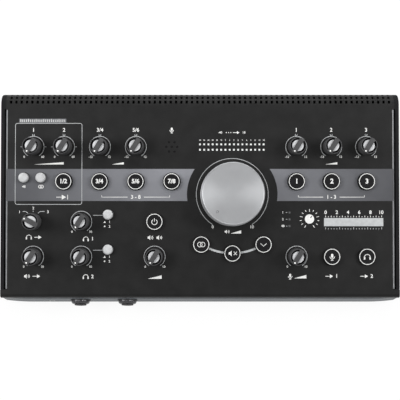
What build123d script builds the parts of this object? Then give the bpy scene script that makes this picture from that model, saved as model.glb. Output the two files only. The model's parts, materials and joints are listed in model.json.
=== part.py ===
from build123d import *
from math import cos, radians, sin, tan
import os

# Desktop studio monitor controller, in millimetres. X runs to the right, Y to the rear and Z up.
# The origin is on the table, under the middle of the whole thing with its sockets.
# u, v and w are a place on the sloped panel: u to the right of the middle, v up the slope from the
# front corner, and w out of the panel.

# Case
body_width = 396.0
body_depth = 201.0
front_height = 38.0  # the panel's front corner above the table
panel_slope = 11.5  # degrees
roll_radius = 12.0  # the panel rolls over into the rear with this outside radius
front_bend = 4.0  # outside radius of the panel's front bend
cover_sheet = 1.2
front_lip = 6.0  # from the front corner down to the lip's edge
rear_lip = 6.0  # straight stretch below the rear roll
ear_run = 7.5  # front strip of the cover that runs the full width, over the cheeks
run_end = 186.5  # where the side flanges stop, below the rear roll
side_flange = 12.0
side_bend = 2.0
bend_relief = 1.0
left_side = -body_width / 2
right_side = body_width / 2
cheek_width = 5.0
cheek_groove = 1.4
cheek_groove_depth = 4.0
cheek_wall = 2.2
cheek_rim = 7.0
cheek_round = 0.8
cheek_corner = 4.5  # radius of the rear corner, seen from above
floor_sheet = 1.5
tray_wall = 6.0
fascia_sheet = 2.0
fascia_proud = 0.7
fascia_bow_run = 27.0  # the fascia bows back over this much of each end
fascia_bow = 1.7
fascia_round = 1.2
rear_sheet = 1.5
foot_height = 5.0
foot_radius = 8.0
foot_inset_x = 22.0
foot_inset_y = 18.0
seat_gap = 0.1  # between pieces that are slid together

# Rear vents
vent_columns = 72
vent_margin = 7.2
vent_pitch = (body_width - 2 * vent_margin) / vent_columns
vent_width = 2.3
vent_length = 3.2
vent_first = 16.0  # degrees round the roll from the panel
vent_step = 25.5
vent_rows = 3

# Control layout on the panel. The left and right groups keep their distance from their own side,
# and the volume knob and the meter keep to the middle.
trim_row = 149.0
select_row = 114.5
middle_row = 74.6
lower_row = 40.0
gain_column = left_side + 32.5
source_column = left_side + 62.8
source_pitch = 35.7
phones_column = left_side + 80.2
studio_column = left_side + 153.0
monitor_column = right_side - 102.3
monitor_pitch = 34.7
volume_u = 32.0
volume_v = 101.7
mute_circle = 58.4
mute_step = 31.8  # degrees between the buttons under the volume knob
small_row = 118.2
small_columns = (left_side + 23.1, left_side + 40.1)
phones_switch_column = left_side + 106.8
phones_switch_rise = 7.0
meter_u = 31.6
meter_v = 148.8
meter_pitch = 4.22
meter_count = 16
meter_row_gap = 5.4
status_u = right_side - 109.2
status_v = 77.0
status_pitch = 6.7

# Small knobs
knob_radius = 8.3
knob_top_radius = 8.1
knob_height = 17.0
knob_edge = 0.5
grip_width = 4.8
pocket_radius = 7.0
pocket_depth = 4.2
insert_radius = 5.8
insert_thick = 1.0
knob_gap = 0.6  # under the knob, above the panel
shaft_radius = 3.0
shaft_seat = 10.0  # length of shaft inside the knob
shaft_fit = 0.05
shaft_hole = 7.6
pot_start = -148.0  # pointer's angle from straight up the panel
cue_start = -62.0

# Volume knob
volume_radius = 30.6
volume_base_radius = 31.6
volume_height = 26.0
volume_wall = 2.0
volume_edge = 0.8
volume_boss = 7.0
volume_dimple = 1.3
volume_dimple_depth = 0.7
volume_dimple_reach = 23.2
volume_start = -139.0
volume_hole = 10.0

# Round buttons
button_radius = 8.2
button_height = 4.0
button_edge = 0.7
button_travel = 1.5
small_button_radius = 4.9
small_button_height = 5.0
small_button_edge = 1.2
small_button_travel = 2.5
button_clear = 0.35
stem = 4.0
stem_clear = 0.3
ear_width = 5.0
ear_reach = 1.6
ear_thick = 1.2

# Boards and what stands on them
board_drop = 14.0  # from the panel's face down to the control board
board_sheet = 1.6
board_front = 31.0
board_rear = 168.0
board_side = 8.0
pot_width = 9.8
pot_length = 11.4
pot_height = 6.8
pot_bore_depth = 4.5
volume_pot_size = 16.0
switch_size = 10.0
switch_height = 7.0
switch_well = 5.2
window = 2.2
window_clear = 0.1
mic_hole = 0.8
mic_pitch = 5.4
mic_radius = 5.5
standoff_radius = 2.75
standoff_columns = (left_side + 17.0, left_side + 130.0, volume_u, right_side - 17.0)
standoff_rows = (56.0, 132.0)
io_board_rise = 5.0
io_board_width = body_width - 20.0
io_board_depth = 62.0
floor_standoff_columns = (left_side + 48.0, 32.0, right_side - 53.0)
link_width = 42.0
link_sheet = 1.6
link_u = -10.0

# Sockets
plug_bore = 3.25
nose_radius = 5.9
nose_clear = 0.2
nut_across = 14.0
nut_thick = 2.4
jack_width = 15.6
jack_height = 19.5
jack_length = 28.0
jack_bore_length = 25.0
rear_nose = 3.4
phone_nose = 5.3
phone_washer_radius = 9.2
phone_washer = 1.0
phone_nut_radius = 7.5
phone_nut = 3.2
phone_jack_length = 24.0
phone_jack_bore_length = 22.0
phone_columns = (left_side + 77.6, left_side + 124.9)
phone_rise = 20.0
line_columns = (left_side + 94.0, left_side + 116.0, -30.0, -8.0, 14.0, 50.0)
combo_columns = (left_side + 33.0, left_side + 64.0)
combo_rise = 29.0
combo_radius = 12.0
combo_flange_width = 26.0
combo_flange_height = 31.0
combo_flange = 1.6
combo_corner = 3.0
combo_groove = 2.4
combo_groove_depth = 12.0
combo_core_radius = 8.8
combo_length = 26.0
usb_u = right_side - 100.0
usb_width = 12.0
usb_height = 11.0
usb_length = 16.0
usb_mouth_depth = 9.6
usb_wall = 1.6
usb_tongue_width = 6.0
usb_tongue_height = 3.6
dc_u = right_side - 72.0
dc_width = 9.0
dc_height = 11.0
dc_length = 14.0
dc_bore = 3.1
dc_pin = 1.0
dc_mouth_depth = 9.8
socket_proud = 0.8
switch_u = right_side - 38.0
switch_rise = 34.0
switch_case_width = 15.0
switch_case_height = 21.0
switch_case_depth = 15.0
switch_flange = 1.4
switch_flange_over = 1.6
switch_side_wall = 1.6
switch_end_wall = 0.8
rocker_swing = 14.0  # degrees from off to on
rocker_clear = 0.4
rocker_axle = 1.5
rocker_axle_seat = 0.8  # how far the axle goes into each side wall
rocker_tail = 5.2  # half height at the rocker's inner edge

# Screws
screw_head = 2.6
screw_head_height = 1.2
screw_shank = 1.25
screw_hole = 1.4
rear_screw_outer = right_side - 22.0
rear_screw_columns = (-rear_screw_outer, -rear_screw_outer / 2, 0.0, rear_screw_outer / 2, rear_screw_outer)
rear_screw_length = 4.0
floor_screw_length = 5.5
cutter = 20.0  # how far a cutting shape stands out past the sheet it cuts

slope_sin = sin(radians(panel_slope))
slope_cos = cos(radians(panel_slope))
front_reach = fascia_proud + phone_nose
rear_reach = rear_nose - cover_sheet
front_y = front_reach - (body_depth + front_reach + rear_reach) / 2
rear_y = front_y + body_depth
rear_panel_y = rear_y - cover_sheet  # outer face of the rear panel
panel_half = body_width / 2 - cheek_width
cheek_front = front_y + ear_run * slope_cos + cover_sheet * slope_sin + seat_gap
fascia_top = front_height - front_lip
floor_top = foot_height + floor_sheet
panel = Plane(origin=(0, front_y, front_height), x_dir=(1, 0, 0), z_dir=(0, -slope_sin, slope_cos))


def skin_height(y, inset=0.0):
    """Height of the panel, or of a surface parallel to it and inset below it, at y."""
    return front_height + (y - front_y) * tan(radians(panel_slope)) - inset / slope_cos


roll_y = rear_y - roll_radius
roll_z = skin_height(roll_y, roll_radius)
rear_lip_z = roll_z - rear_lip

# Where each control stands on the panel
knob_spots = {
    "gain_1": (gain_column, trim_row),
    "gain_2": (source_column, trim_row),
    "trim_3_4": (source_column + source_pitch, trim_row),
    "trim_5_6": (source_column + 2 * source_pitch, trim_row),
    "trim_a": (monitor_column, trim_row),
    "trim_b": (monitor_column + monitor_pitch, trim_row),
    "trim_c": (monitor_column + 2 * monitor_pitch, trim_row),
    "cue_source": (gain_column, middle_row),
    "phones_1": (phones_column, middle_row),
    "phones_2": (phones_column, lower_row),
    "direct_monitoring": (gain_column, lower_row),
    "studio_level": (studio_column, lower_row),
    "talkback_level": (monitor_column, lower_row),
}
mute_u = mute_circle * sin(radians(mute_step))
mute_v = mute_circle * cos(radians(mute_step))
button_spots = {
    "source_1_2": (source_column, select_row),
    "source_3_4": (source_column + source_pitch, select_row),
    "source_5_6": (source_column + 2 * source_pitch, select_row),
    "source_computer": (source_column + 3 * source_pitch, select_row),
    "monitor_a": (monitor_column, select_row),
    "monitor_b": (monitor_column + monitor_pitch, select_row),
    "monitor_c": (monitor_column + 2 * monitor_pitch, select_row),
    "studio_on": (studio_column, middle_row),
    "mono": (volume_u - mute_u, volume_v - mute_v),
    "mute": (volume_u, volume_v - mute_circle),
    "dim": (volume_u + mute_u, volume_v - mute_v),
    "talk_to_track": (monitor_column + monitor_pitch, lower_row),
    "talk_to_cue": (monitor_column + 2 * monitor_pitch, lower_row),
}
small_button_spots = {
    "phantom": (small_columns[0], small_row),
    "stereo_link": (small_columns[1], small_row),
    "phones_1_source": (phones_switch_column, middle_row + phones_switch_rise),
    "phones_2_source": (phones_switch_column, lower_row + phones_switch_rise),
}
mic_spot = (source_column + 3 * source_pitch, trim_row)
rear_screw_spots = [(x, rear_lip_z + rear_lip / 2) for x in rear_screw_columns]
standoff_spots = [(u, v) for u in standoff_columns for v in standoff_rows]


def body_section(inset, rear_low, front_low):
    """The body seen from the side, set in by inset and closed by a straight line below."""
    front = front_y + inset
    rear = rear_y - inset
    with BuildSketch(Plane.YZ) as section:
        with BuildLine():
            skin = FilletPolyline(
                (rear, rear_low),
                (rear, skin_height(rear, inset)),
                (front, skin_height(front, inset)),
                (front, front_low),
                radius=(roll_radius - inset, front_bend - inset),
            )
            Line(skin @ 1, skin @ 0)
        make_face()
    return section


def write(part, name):
    part.label = name
    export_step(part, f"parts/{name}.step")


os.makedirs("parts", exist_ok=True)

# Top cover: one folded sheet with the sloped panel, the rear roll, the front lip and two side flanges
outer_skin = body_section(0, rear_lip_z, front_height - front_lip)
inner_skin = body_section(cover_sheet, rear_lip_z - cutter, front_height - front_lip - cutter)
side_past = body_width / 2 + cutter
rear_past = body_depth + cutter
bend_half = panel_half - side_bend
flange_plane = Plane(
    origin=panel.from_local_coords((0, ear_run + bend_relief, 0)), x_dir=(1, 0, 0), z_dir=panel.y_dir
)
with BuildPart() as top_cover:
    extrude(outer_skin.sketch, amount=body_width / 2, both=True)
    extrude(inner_skin.sketch, amount=body_width / 2 + cutter, both=True, mode=Mode.SUBTRACT)
    with BuildSketch(panel):
        with BuildLine():
            Polyline((panel_half, ear_run), (side_past, ear_run), (side_past, rear_past))
            Polyline((side_past, rear_past), (panel_half, rear_past), (panel_half, ear_run))
        make_face()
        with BuildLine():
            Polyline((bend_half, ear_run), (side_past, ear_run), (side_past, run_end))
            Polyline((side_past, run_end), (bend_half, run_end), (bend_half, ear_run))
        make_face()
        mirror(about=Plane.YZ)
    extrude(amount=body_depth, both=True, mode=Mode.SUBTRACT)
    with BuildSketch(flange_plane):
        with BuildLine():
            outside = FilletPolyline(
                (panel_half - 2 * side_bend, 0), (panel_half, 0), (panel_half, side_flange), radius=side_bend
            )
            inside = FilletPolyline(
                (panel_half - 2 * side_bend, cover_sheet),
                (panel_half - cover_sheet, cover_sheet),
                (panel_half - cover_sheet, side_flange),
                radius=side_bend - cover_sheet,
            )
            Line(outside @ 0, inside @ 0)
            Line(outside @ 1, inside @ 1)
        make_face()
        mirror(about=Plane.YZ)
    extrude(amount=run_end - ear_run - 2 * bend_relief)
    with BuildSketch(panel):
        with Locations(*knob_spots.values()):
            Circle(shaft_hole / 2)
        with Locations((volume_u, volume_v)):
            Circle(volume_hole / 2)
        with Locations(*button_spots.values()):
            Circle(button_radius + button_clear)
        with Locations(*small_button_spots.values()):
            Circle(small_button_radius + button_clear)
        with Locations(mic_spot):
            with PolarLocations(mic_pitch, 6):
                Circle(mic_hole)
            Circle(mic_hole)
        with Locations((meter_u, meter_v)):
            with GridLocations(meter_pitch, meter_row_gap, meter_count, 2):
                Rectangle(window, window)
        with Locations((status_u, status_v)):
            with GridLocations(1, status_pitch, 1, 3):
                Rectangle(window, window)
    extrude(amount=2 * cover_sheet, both=True, mode=Mode.SUBTRACT)
    for row in range(vent_rows):
        turn = radians(vent_first + row * vent_step - panel_slope)
        vent_plane = Plane(origin=(0, roll_y, roll_z), x_dir=(1, 0, 0), z_dir=(0, sin(turn), cos(turn)))
        with BuildSketch(vent_plane.offset(roll_radius - 2 * cover_sheet)):
            with GridLocations(vent_pitch, 1, vent_columns, 1):
                Rectangle(vent_width, vent_length)
        extrude(amount=3 * cover_sheet, mode=Mode.SUBTRACT)
    with BuildSketch(Plane.XZ.offset(-rear_y + 2 * cover_sheet)):
        with Locations(*rear_screw_spots):
            Circle(screw_hole)
    extrude(amount=-3 * cover_sheet, mode=Mode.SUBTRACT)
write(top_cover.part, "top_cover")

# Side cheeks: mouldings between the cover's flange and the open side, hollow on the inside
full_section = body_section(0, foot_height, foot_height)
under_cover = body_section(cover_sheet + seat_gap, foot_height, foot_height)
with BuildSketch(Plane.YZ) as behind_ear:
    add(full_section.sketch_local)
    with BuildLine():
        ear_end = Vector(front_y + ear_run * slope_cos, front_height + ear_run * slope_sin)
        ear_top = ear_end + Vector(seat_gap, 0)
        ear_under = ear_top + Vector(slope_sin, -slope_cos) * (cover_sheet + seat_gap)
        Polyline(
            ear_top + Vector(-slope_sin, slope_cos) * cutter,
            ear_under,
            (cheek_front, foot_height),
            (rear_y, foot_height),
            (rear_y, skin_height(rear_y) + cutter),
            close=True,
        )
    make_face(mode=Mode.INTERSECT)
cheek_plane = Plane.YZ.offset(panel_half)
with BuildSketch(cheek_plane) as cheek_outline:
    add(under_cover.sketch_local)
    with Locations((front_y, foot_height)):
        Rectangle(2 * (cheek_front - front_y), 2 * (fascia_top - foot_height), mode=Mode.SUBTRACT)
    add(behind_ear.sketch_local)
with BuildSketch(cheek_plane) as cheek_pocket:
    with BuildLine():
        Polyline(
            (cheek_front + cheek_rim, foot_height + cheek_rim),
            (rear_y - cheek_rim, foot_height + cheek_rim),
            (rear_y - cheek_rim, skin_height(rear_y - cheek_rim, cheek_rim + side_flange / 2)),
            (cheek_front + cheek_rim, skin_height(cheek_front + cheek_rim, cheek_rim + side_flange / 2)),
            close=True,
        )
    make_face()
with BuildPart() as right_cheek:
    extrude(cheek_outline.sketch, amount=cheek_width)
    outside_face = right_cheek.faces().sort_by(Axis.X)[-1]
    fillet(outside_face.edges(), radius=cheek_round)
    with BuildSketch() as cheek_plan:
        with Locations((panel_half, front_y)):
            Rectangle(cheek_width, body_depth, align=Align.MIN)
        rear_corner = cheek_plan.vertices().sort_by(Axis.Y)[-2:].sort_by(Axis.X)[-1]
        fillet(rear_corner, radius=cheek_corner)
    extrude(amount=rear_y, mode=Mode.INTERSECT)
    with BuildSketch(panel):
        with BuildLine():
            Polyline(
                (panel_half - 1, ear_run),
                (panel_half + cheek_groove, ear_run),
                (panel_half + cheek_groove, run_end),
                (panel_half - 1, run_end),
                close=True,
            )
        make_face()
    extrude(amount=cheek_groove_depth, both=True, mode=Mode.SUBTRACT)
    extrude(cheek_pocket.sketch, amount=cheek_width - cheek_wall, mode=Mode.SUBTRACT)
write(right_cheek.part, "right_cheek")

with BuildPart() as left_cheek:
    add(mirror(right_cheek.part, about=Plane.YZ, mode=Mode.PRIVATE))
write(left_cheek.part, "left_cheek")

# Front fascia: a tray-shaped pressing whose face bows back at both ends
fascia_y = front_y - fascia_proud  # outer face in the middle
bow_start = body_width / 2 - fascia_bow_run


def fascia_plan(inset, back):
    """The fascia seen from above, set in by inset, with its open side at back."""
    side = body_width / 2 - inset
    face = fascia_y + inset
    with BuildSketch(Plane.XY.offset(foot_height)) as plan:
        with BuildLine():
            Line((-bow_start, face), (bow_start, face))
            bow = TangentArc((bow_start, face), (side, face + fascia_bow), tangent=(1, 0))
            Line(bow @ 1, (side, back))
            mirror(about=Plane.YZ)
            Line((-side, back), (side, back))
        make_face()
    return plan


with BuildPart() as front_fascia:
    extrude(fascia_plan(0, cheek_front).sketch, amount=fascia_top - foot_height)
    hollow = fascia_plan(fascia_sheet, cheek_front + cutter).sketch.moved(Location((0, 0, floor_sheet)))
    extrude(hollow, amount=fascia_top, mode=Mode.SUBTRACT)
    top_edges = front_fascia.faces().sort_by(Axis.Z)[-1].edges().sort_by(Axis.Y)[:3]
    fillet(top_edges, radius=fascia_round)
    with BuildSketch(Plane.XZ.offset(-fascia_y)):
        with Locations(*[(x, phone_rise) for x in phone_columns]):
            Circle(nose_radius + nose_clear)
    extrude(amount=2 * fascia_sheet, both=True, mode=Mode.SUBTRACT)
write(front_fascia.part, "front_fascia")

# Base pan: the floor, with a low wall all round
pan_back = rear_panel_y - rear_sheet
io_rear = pan_back - floor_sheet - stem_clear
io_centre = io_rear - io_board_depth / 2
standoff_reach = io_board_depth / 2 - 2 * standoff_radius
floor_standoff_spots = [
    (x, io_centre + y) for x in floor_standoff_columns for y in (-standoff_reach, standoff_reach)
]
with BuildPart() as base_pan:
    with BuildSketch(Plane.XY.offset(foot_height)) as pan_plan:
        with Locations((0, (cheek_front + pan_back) / 2)):
            Rectangle(2 * panel_half, pan_back - cheek_front)
    extrude(amount=tray_wall)
    offset(amount=-floor_sheet, openings=base_pan.faces().sort_by(Axis.Z)[-1])
    with BuildSketch(Plane.XY.offset(foot_height)):
        with Locations(*floor_standoff_spots):
            Circle(screw_hole)
    extrude(amount=floor_sheet, mode=Mode.SUBTRACT)
write(base_pan.part, "base_pan")

# Rear panel: a plate behind the cover's rear lip, cut out for every socket
line_rises = [
    floor_top + io_board_rise + board_sheet + jack_height / 2,
    floor_top + io_board_rise + board_sheet + jack_height * 3 / 2,
]
line_spots = [(x, z) for x in line_columns for z in line_rises]
combo_spots = [(x, combo_rise) for x in combo_columns]
phone_spots = [(x, phone_rise) for x in phone_columns]
io_top = floor_top + io_board_rise + board_sheet
usb_spot = (usb_u, io_top + usb_height / 2)
dc_spot = (dc_u, io_top + dc_height / 2)
switch_spot = (switch_u, switch_rise)
rear_wall = Plane.XZ.offset(-rear_panel_y)  # faces the front, so a negative extrusion goes out at the rear
with BuildPart() as rear_panel:
    with BuildSketch(rear_wall):
        with Locations((0, (foot_height + roll_z) / 2)):
            Rectangle(2 * panel_half, roll_z - foot_height)
        with Locations(*line_spots):
            Circle(nose_radius + nose_clear, mode=Mode.SUBTRACT)
        with Locations(*combo_spots):
            Circle(combo_radius + nose_clear, mode=Mode.SUBTRACT)
        with Locations(usb_spot):
            Rectangle(usb_width + nose_clear, usb_height + nose_clear, mode=Mode.SUBTRACT)
        with Locations(dc_spot):
            Rectangle(dc_width + nose_clear, dc_height + nose_clear, mode=Mode.SUBTRACT)
        with Locations(switch_spot):
            Rectangle(switch_case_width + nose_clear, switch_case_height + nose_clear, mode=Mode.SUBTRACT)
        with Locations(*rear_screw_spots):
            Circle(screw_shank, mode=Mode.SUBTRACT)
    extrude(amount=rear_sheet)
write(rear_panel.part, "rear_panel")

# Case screws: five through the rear lip and six up into the floor standoffs
with BuildPart() as case_screws:
    with BuildSketch(Plane.XZ.offset(-rear_y)):
        with Locations(*rear_screw_spots):
            Circle(screw_head)
    extrude(amount=-screw_head_height)
    with BuildSketch(Plane.XZ.offset(-rear_y)):
        with Locations(*rear_screw_spots):
            Circle(screw_shank)
    extrude(amount=rear_screw_length)
    with BuildSketch(Plane.XY.offset(foot_height)):
        with Locations(*floor_standoff_spots):
            Circle(screw_head)
    extrude(amount=-screw_head_height)
    with BuildSketch(Plane.XY.offset(foot_height)):
        with Locations(*floor_standoff_spots):
            Circle(screw_shank)
    extrude(amount=floor_screw_length)
write(case_screws.part, "case_screws")

# Control board, parallel to the panel, with the pots, switches, lights and microphone that stand on it
with BuildPart() as control_board:
    with BuildSketch(panel.offset(-board_drop)):
        with Locations((0, (board_front + board_rear) / 2)):
            Rectangle(2 * (panel_half - board_side), board_rear - board_front)
    extrude(amount=-board_sheet)
write(control_board.part, "control_board")

with BuildPart() as pot_bodies:
    with BuildSketch(panel.offset(-board_drop)):
        with Locations(*knob_spots.values()):
            Rectangle(pot_width, pot_length)
    extrude(amount=pot_height)
    with BuildSketch(panel.offset(-board_drop + pot_height)):
        with Locations(*knob_spots.values()):
            Circle(shaft_radius + shaft_fit)
    extrude(amount=-pot_bore_depth, mode=Mode.SUBTRACT)
write(pot_bodies.part, "pot_bodies")

with BuildPart() as volume_pot:
    with BuildSketch(panel.offset(-board_drop)):
        with Locations((volume_u, volume_v)):
            Rectangle(volume_pot_size, volume_pot_size)
    extrude(amount=pot_height)
    with BuildSketch(panel.offset(-board_drop + pot_height)):
        with Locations((volume_u, volume_v)):
            Circle(shaft_radius + shaft_fit)
    extrude(amount=-pot_bore_depth, mode=Mode.SUBTRACT)
write(volume_pot.part, "volume_pot")

with BuildPart() as switch_bodies:
    with BuildSketch(panel.offset(-board_drop)):
        with Locations(*button_spots.values(), *small_button_spots.values()):
            Rectangle(switch_size, switch_size)
    extrude(amount=switch_height)
    with BuildSketch(panel.offset(-board_drop + switch_height)):
        with Locations(*button_spots.values(), *small_button_spots.values()):
            Rectangle(stem + 2 * stem_clear, stem + 2 * stem_clear)
    extrude(amount=-switch_well, mode=Mode.SUBTRACT)
write(switch_bodies.part, "switch_bodies")

light_height = board_drop - window_clear
with BuildPart() as meter_lights:
    with BuildSketch(panel.offset(-board_drop)):
        with Locations((meter_u, meter_v)):
            with GridLocations(meter_pitch, meter_row_gap, meter_count, 2):
                Rectangle(window - 2 * window_clear, window - 2 * window_clear)
    extrude(amount=light_height)
write(meter_lights.part, "meter_lights")

with BuildPart() as status_lights:
    with BuildSketch(panel.offset(-board_drop)):
        with Locations((status_u, status_v)):
            with GridLocations(1, status_pitch, 1, 3):
                Rectangle(window - 2 * window_clear, window - 2 * window_clear)
    extrude(amount=light_height)
write(status_lights.part, "status_lights")

with BuildPart() as microphone:
    with BuildSketch(panel.offset(-board_drop)):
        with Locations(mic_spot):
            Circle(mic_radius)
    extrude(amount=board_drop - cover_sheet)
write(microphone.part, "microphone")

with BuildPart() as panel_standoffs:
    with BuildSketch(panel.offset(-board_drop)):
        with Locations(*standoff_spots):
            Circle(standoff_radius)
    extrude(amount=board_drop - cover_sheet)
write(panel_standoffs.part, "panel_standoffs")

# Socket board on the floor, its standoffs, and the link up to the control board
with BuildPart() as socket_board:
    with BuildSketch(Plane.XY.offset(io_top - board_sheet)):
        with Locations((0, io_centre)):
            Rectangle(io_board_width, io_board_depth)
    extrude(amount=board_sheet)
write(socket_board.part, "socket_board")

with BuildPart() as floor_standoffs:
    with BuildSketch(Plane.XY.offset(floor_top)):
        with Locations(*floor_standoff_spots):
            Circle(standoff_radius)
            Circle(screw_shank, mode=Mode.SUBTRACT)
    extrude(amount=io_board_rise)
write(floor_standoffs.part, "floor_standoffs")

link_y = io_rear - io_board_depth + 2 * standoff_radius
board_under = board_drop + board_sheet
with BuildPart() as board_link:
    with BuildSketch(Plane.YZ.offset(link_u)):
        with BuildLine():
            Polyline(
                (link_y, io_top),
                (link_y + link_sheet, io_top),
                (link_y + link_sheet, skin_height(link_y + link_sheet, board_under)),
                (link_y, skin_height(link_y, board_under)),
                close=True,
            )
        make_face()
    extrude(amount=link_width / 2, both=True)
write(board_link.part, "board_link")

# Quarter-inch sockets
phone_wall = Plane.XZ.offset(-fascia_y)
with BuildPart() as phone_jacks:
    with BuildSketch(phone_wall.offset(-fascia_sheet)):
        with Locations(*phone_spots):
            Rectangle(jack_width, jack_width)
    extrude(amount=-phone_jack_length)
    with BuildSketch(phone_wall.offset(-fascia_sheet)):
        with Locations(*phone_spots):
            Circle(nose_radius)
    extrude(amount=fascia_sheet + phone_nose)
    with BuildSketch(phone_wall.offset(phone_nose)):
        with Locations(*phone_spots):
            Circle(plug_bore)
    extrude(amount=-phone_jack_bore_length, mode=Mode.SUBTRACT)
write(phone_jacks.part, "phone_jacks")

with BuildPart() as phone_washers:
    with BuildSketch(phone_wall):
        with Locations(*phone_spots):
            Circle(phone_washer_radius)
            Circle(nose_radius + shaft_fit, mode=Mode.SUBTRACT)
    extrude(amount=phone_washer)
write(phone_washers.part, "phone_washers")

with BuildPart() as phone_nuts:
    with BuildSketch(phone_wall.offset(phone_washer)):
        with Locations(*phone_spots):
            Circle(phone_nut_radius)
            Circle(nose_radius + shaft_fit, mode=Mode.SUBTRACT)
    extrude(amount=phone_nut)
    nut_rims = phone_nuts.edges().filter_by(GeomType.CIRCLE).group_by(Axis.Y)[0].group_by(SortBy.RADIUS)[-1]
    chamfer(nut_rims, length=phone_nut / 3)
write(phone_nuts.part, "phone_nuts")

with BuildPart() as line_jacks:
    with BuildSketch(rear_wall.offset(rear_sheet)):
        with Locations(*line_spots):
            Rectangle(jack_width, jack_height - seat_gap)
    extrude(amount=jack_length)
    with BuildSketch(rear_wall.offset(rear_sheet)):
        with Locations(*line_spots):
            Circle(nose_radius)
    extrude(amount=-rear_sheet - rear_nose)
    with BuildSketch(rear_wall):
        with Locations(*line_spots):
            RegularPolygon(nut_across / 2, 6, major_radius=False)
    extrude(amount=-nut_thick)
    with BuildSketch(rear_wall.offset(-rear_nose)):
        with Locations(*line_spots):
            Circle(plug_bore)
    extrude(amount=jack_bore_length, mode=Mode.SUBTRACT)
write(line_jacks.part, "line_jacks")

combo_low = io_top - combo_rise
combo_high = combo_radius + floor_sheet
with BuildPart() as combo_jacks:
    with BuildSketch(rear_wall.offset(rear_sheet)):
        with Locations(*[(x, combo_rise + (combo_low + combo_high) / 2) for x in combo_columns]):
            Rectangle(2 * combo_radius, combo_high - combo_low)
    extrude(amount=combo_length)
    with BuildSketch(rear_wall.offset(rear_sheet)):
        with Locations(*combo_spots):
            Circle(combo_radius)
    extrude(amount=-rear_sheet)
    with BuildSketch(rear_wall):
        with Locations(*combo_spots):
            RectangleRounded(combo_flange_width, combo_flange_height, combo_corner)
    extrude(amount=-combo_flange)
    with BuildSketch(rear_wall.offset(-combo_flange)):
        with Locations(*combo_spots):
            Circle(combo_core_radius + combo_groove)
            Circle(combo_core_radius, mode=Mode.SUBTRACT)
    extrude(amount=combo_groove_depth, mode=Mode.SUBTRACT)
    with BuildSketch(rear_wall.offset(-combo_flange)):
        with Locations(*combo_spots):
            Circle(plug_bore)
    extrude(amount=jack_bore_length, mode=Mode.SUBTRACT)
write(combo_jacks.part, "combo_jacks")

with BuildPart() as usb_socket:
    with BuildSketch(rear_wall.offset(-socket_proud)):
        with Locations(usb_spot):
            Rectangle(usb_width, usb_height)
    extrude(amount=usb_length)
    with BuildSketch(rear_wall.offset(-socket_proud)):
        with Locations(usb_spot):
            Rectangle(usb_width - 2 * usb_wall, usb_height - 2 * usb_wall)
            Rectangle(usb_tongue_width, usb_tongue_height, mode=Mode.SUBTRACT)
    extrude(amount=usb_mouth_depth, mode=Mode.SUBTRACT)
write(usb_socket.part, "usb_socket")

with BuildPart() as power_inlet:
    with BuildSketch(rear_wall.offset(-socket_proud)):
        with Locations(dc_spot):
            Rectangle(dc_width, dc_height)
    extrude(amount=dc_length)
    with BuildSketch(rear_wall.offset(-socket_proud)):
        with Locations(dc_spot):
            Circle(dc_bore)
            Circle(dc_pin, mode=Mode.SUBTRACT)
    extrude(amount=dc_mouth_depth, mode=Mode.SUBTRACT)
write(power_inlet.part, "power_inlet")

# Power switch: a flanged case and a rocker on an axle in its side walls
rocker_y = rear_panel_y - 2 * rocker_axle
opening_width = switch_case_width - 2 * switch_side_wall
opening_height = switch_case_height - 2 * switch_end_wall
with BuildPart() as switch_case:
    with BuildSketch(rear_wall.offset(-switch_flange)):
        with Locations(switch_spot):
            Rectangle(
                switch_case_width + 2 * switch_flange_over,
                switch_case_height + 2 * switch_flange_over,
            )
    extrude(amount=switch_flange)
    with BuildSketch(rear_wall):
        with Locations(switch_spot):
            Rectangle(switch_case_width, switch_case_height)
    extrude(amount=switch_case_depth)
    with BuildSketch(rear_wall.offset(-switch_flange)):
        with Locations(switch_spot):
            Rectangle(opening_width, opening_height)
    extrude(amount=switch_case_depth, mode=Mode.SUBTRACT)
    with BuildSketch(Plane.YZ.offset(switch_u)):
        with Locations((rocker_y, switch_rise)):
            Circle(rocker_axle + shaft_fit)
    extrude(amount=opening_width / 2 + rocker_axle_seat, both=True, mode=Mode.SUBTRACT)
write(switch_case.part, "switch_case")

rocker_half = opening_height / 2 - 2 * rocker_clear
rocker_out = rear_panel_y + switch_flange - rocker_y
rocker_tilt = radians(rocker_swing / 2)
rocker_plane = Plane(
    origin=(switch_u, rocker_y, switch_rise), x_dir=(0, cos(rocker_tilt), sin(rocker_tilt)), z_dir=(1, 0, 0)
)
with BuildPart() as power_rocker:
    with BuildSketch(rocker_plane):
        with BuildLine():
            Polyline(
                (-rocker_out, -rocker_tail),
                (rocker_out, -rocker_half),
                (rocker_out - rocker_half * tan(rocker_tilt), 0),
                (rocker_out, rocker_half),
                (-rocker_out, rocker_tail),
                close=True,
            )
        make_face()
    extrude(amount=opening_width / 2 - rocker_clear, both=True)
    with BuildSketch(rocker_plane):
        Circle(rocker_axle)
    extrude(amount=opening_width / 2 + rocker_axle_seat - shaft_fit, both=True)
write(power_rocker.part, "power_rocker")

# Rubber feet
with BuildPart() as rubber_feet:
    with BuildSketch():
        with Locations((0, (front_y + rear_y) / 2)):
            with GridLocations(body_width - 2 * foot_inset_x, body_depth - 2 * foot_inset_y, 2, 2):
                Circle(foot_radius)
    extrude(amount=foot_height)
    chamfer(rubber_feet.faces().filter_by(Plane.XY).group_by(Axis.Z)[0].edges(), length=foot_height / 5)
write(rubber_feet.part, "rubber_feet")


def pointer_plane(u, v, height, angle):
    """A plane over the panel whose Y axis points angle degrees clockwise from straight up the panel."""
    x_dir = panel.x_dir * cos(radians(angle)) - panel.y_dir * sin(radians(angle))
    return Plane(origin=panel.from_local_coords((u, v, height)), x_dir=x_dir, z_dir=panel.z_dir)


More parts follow.
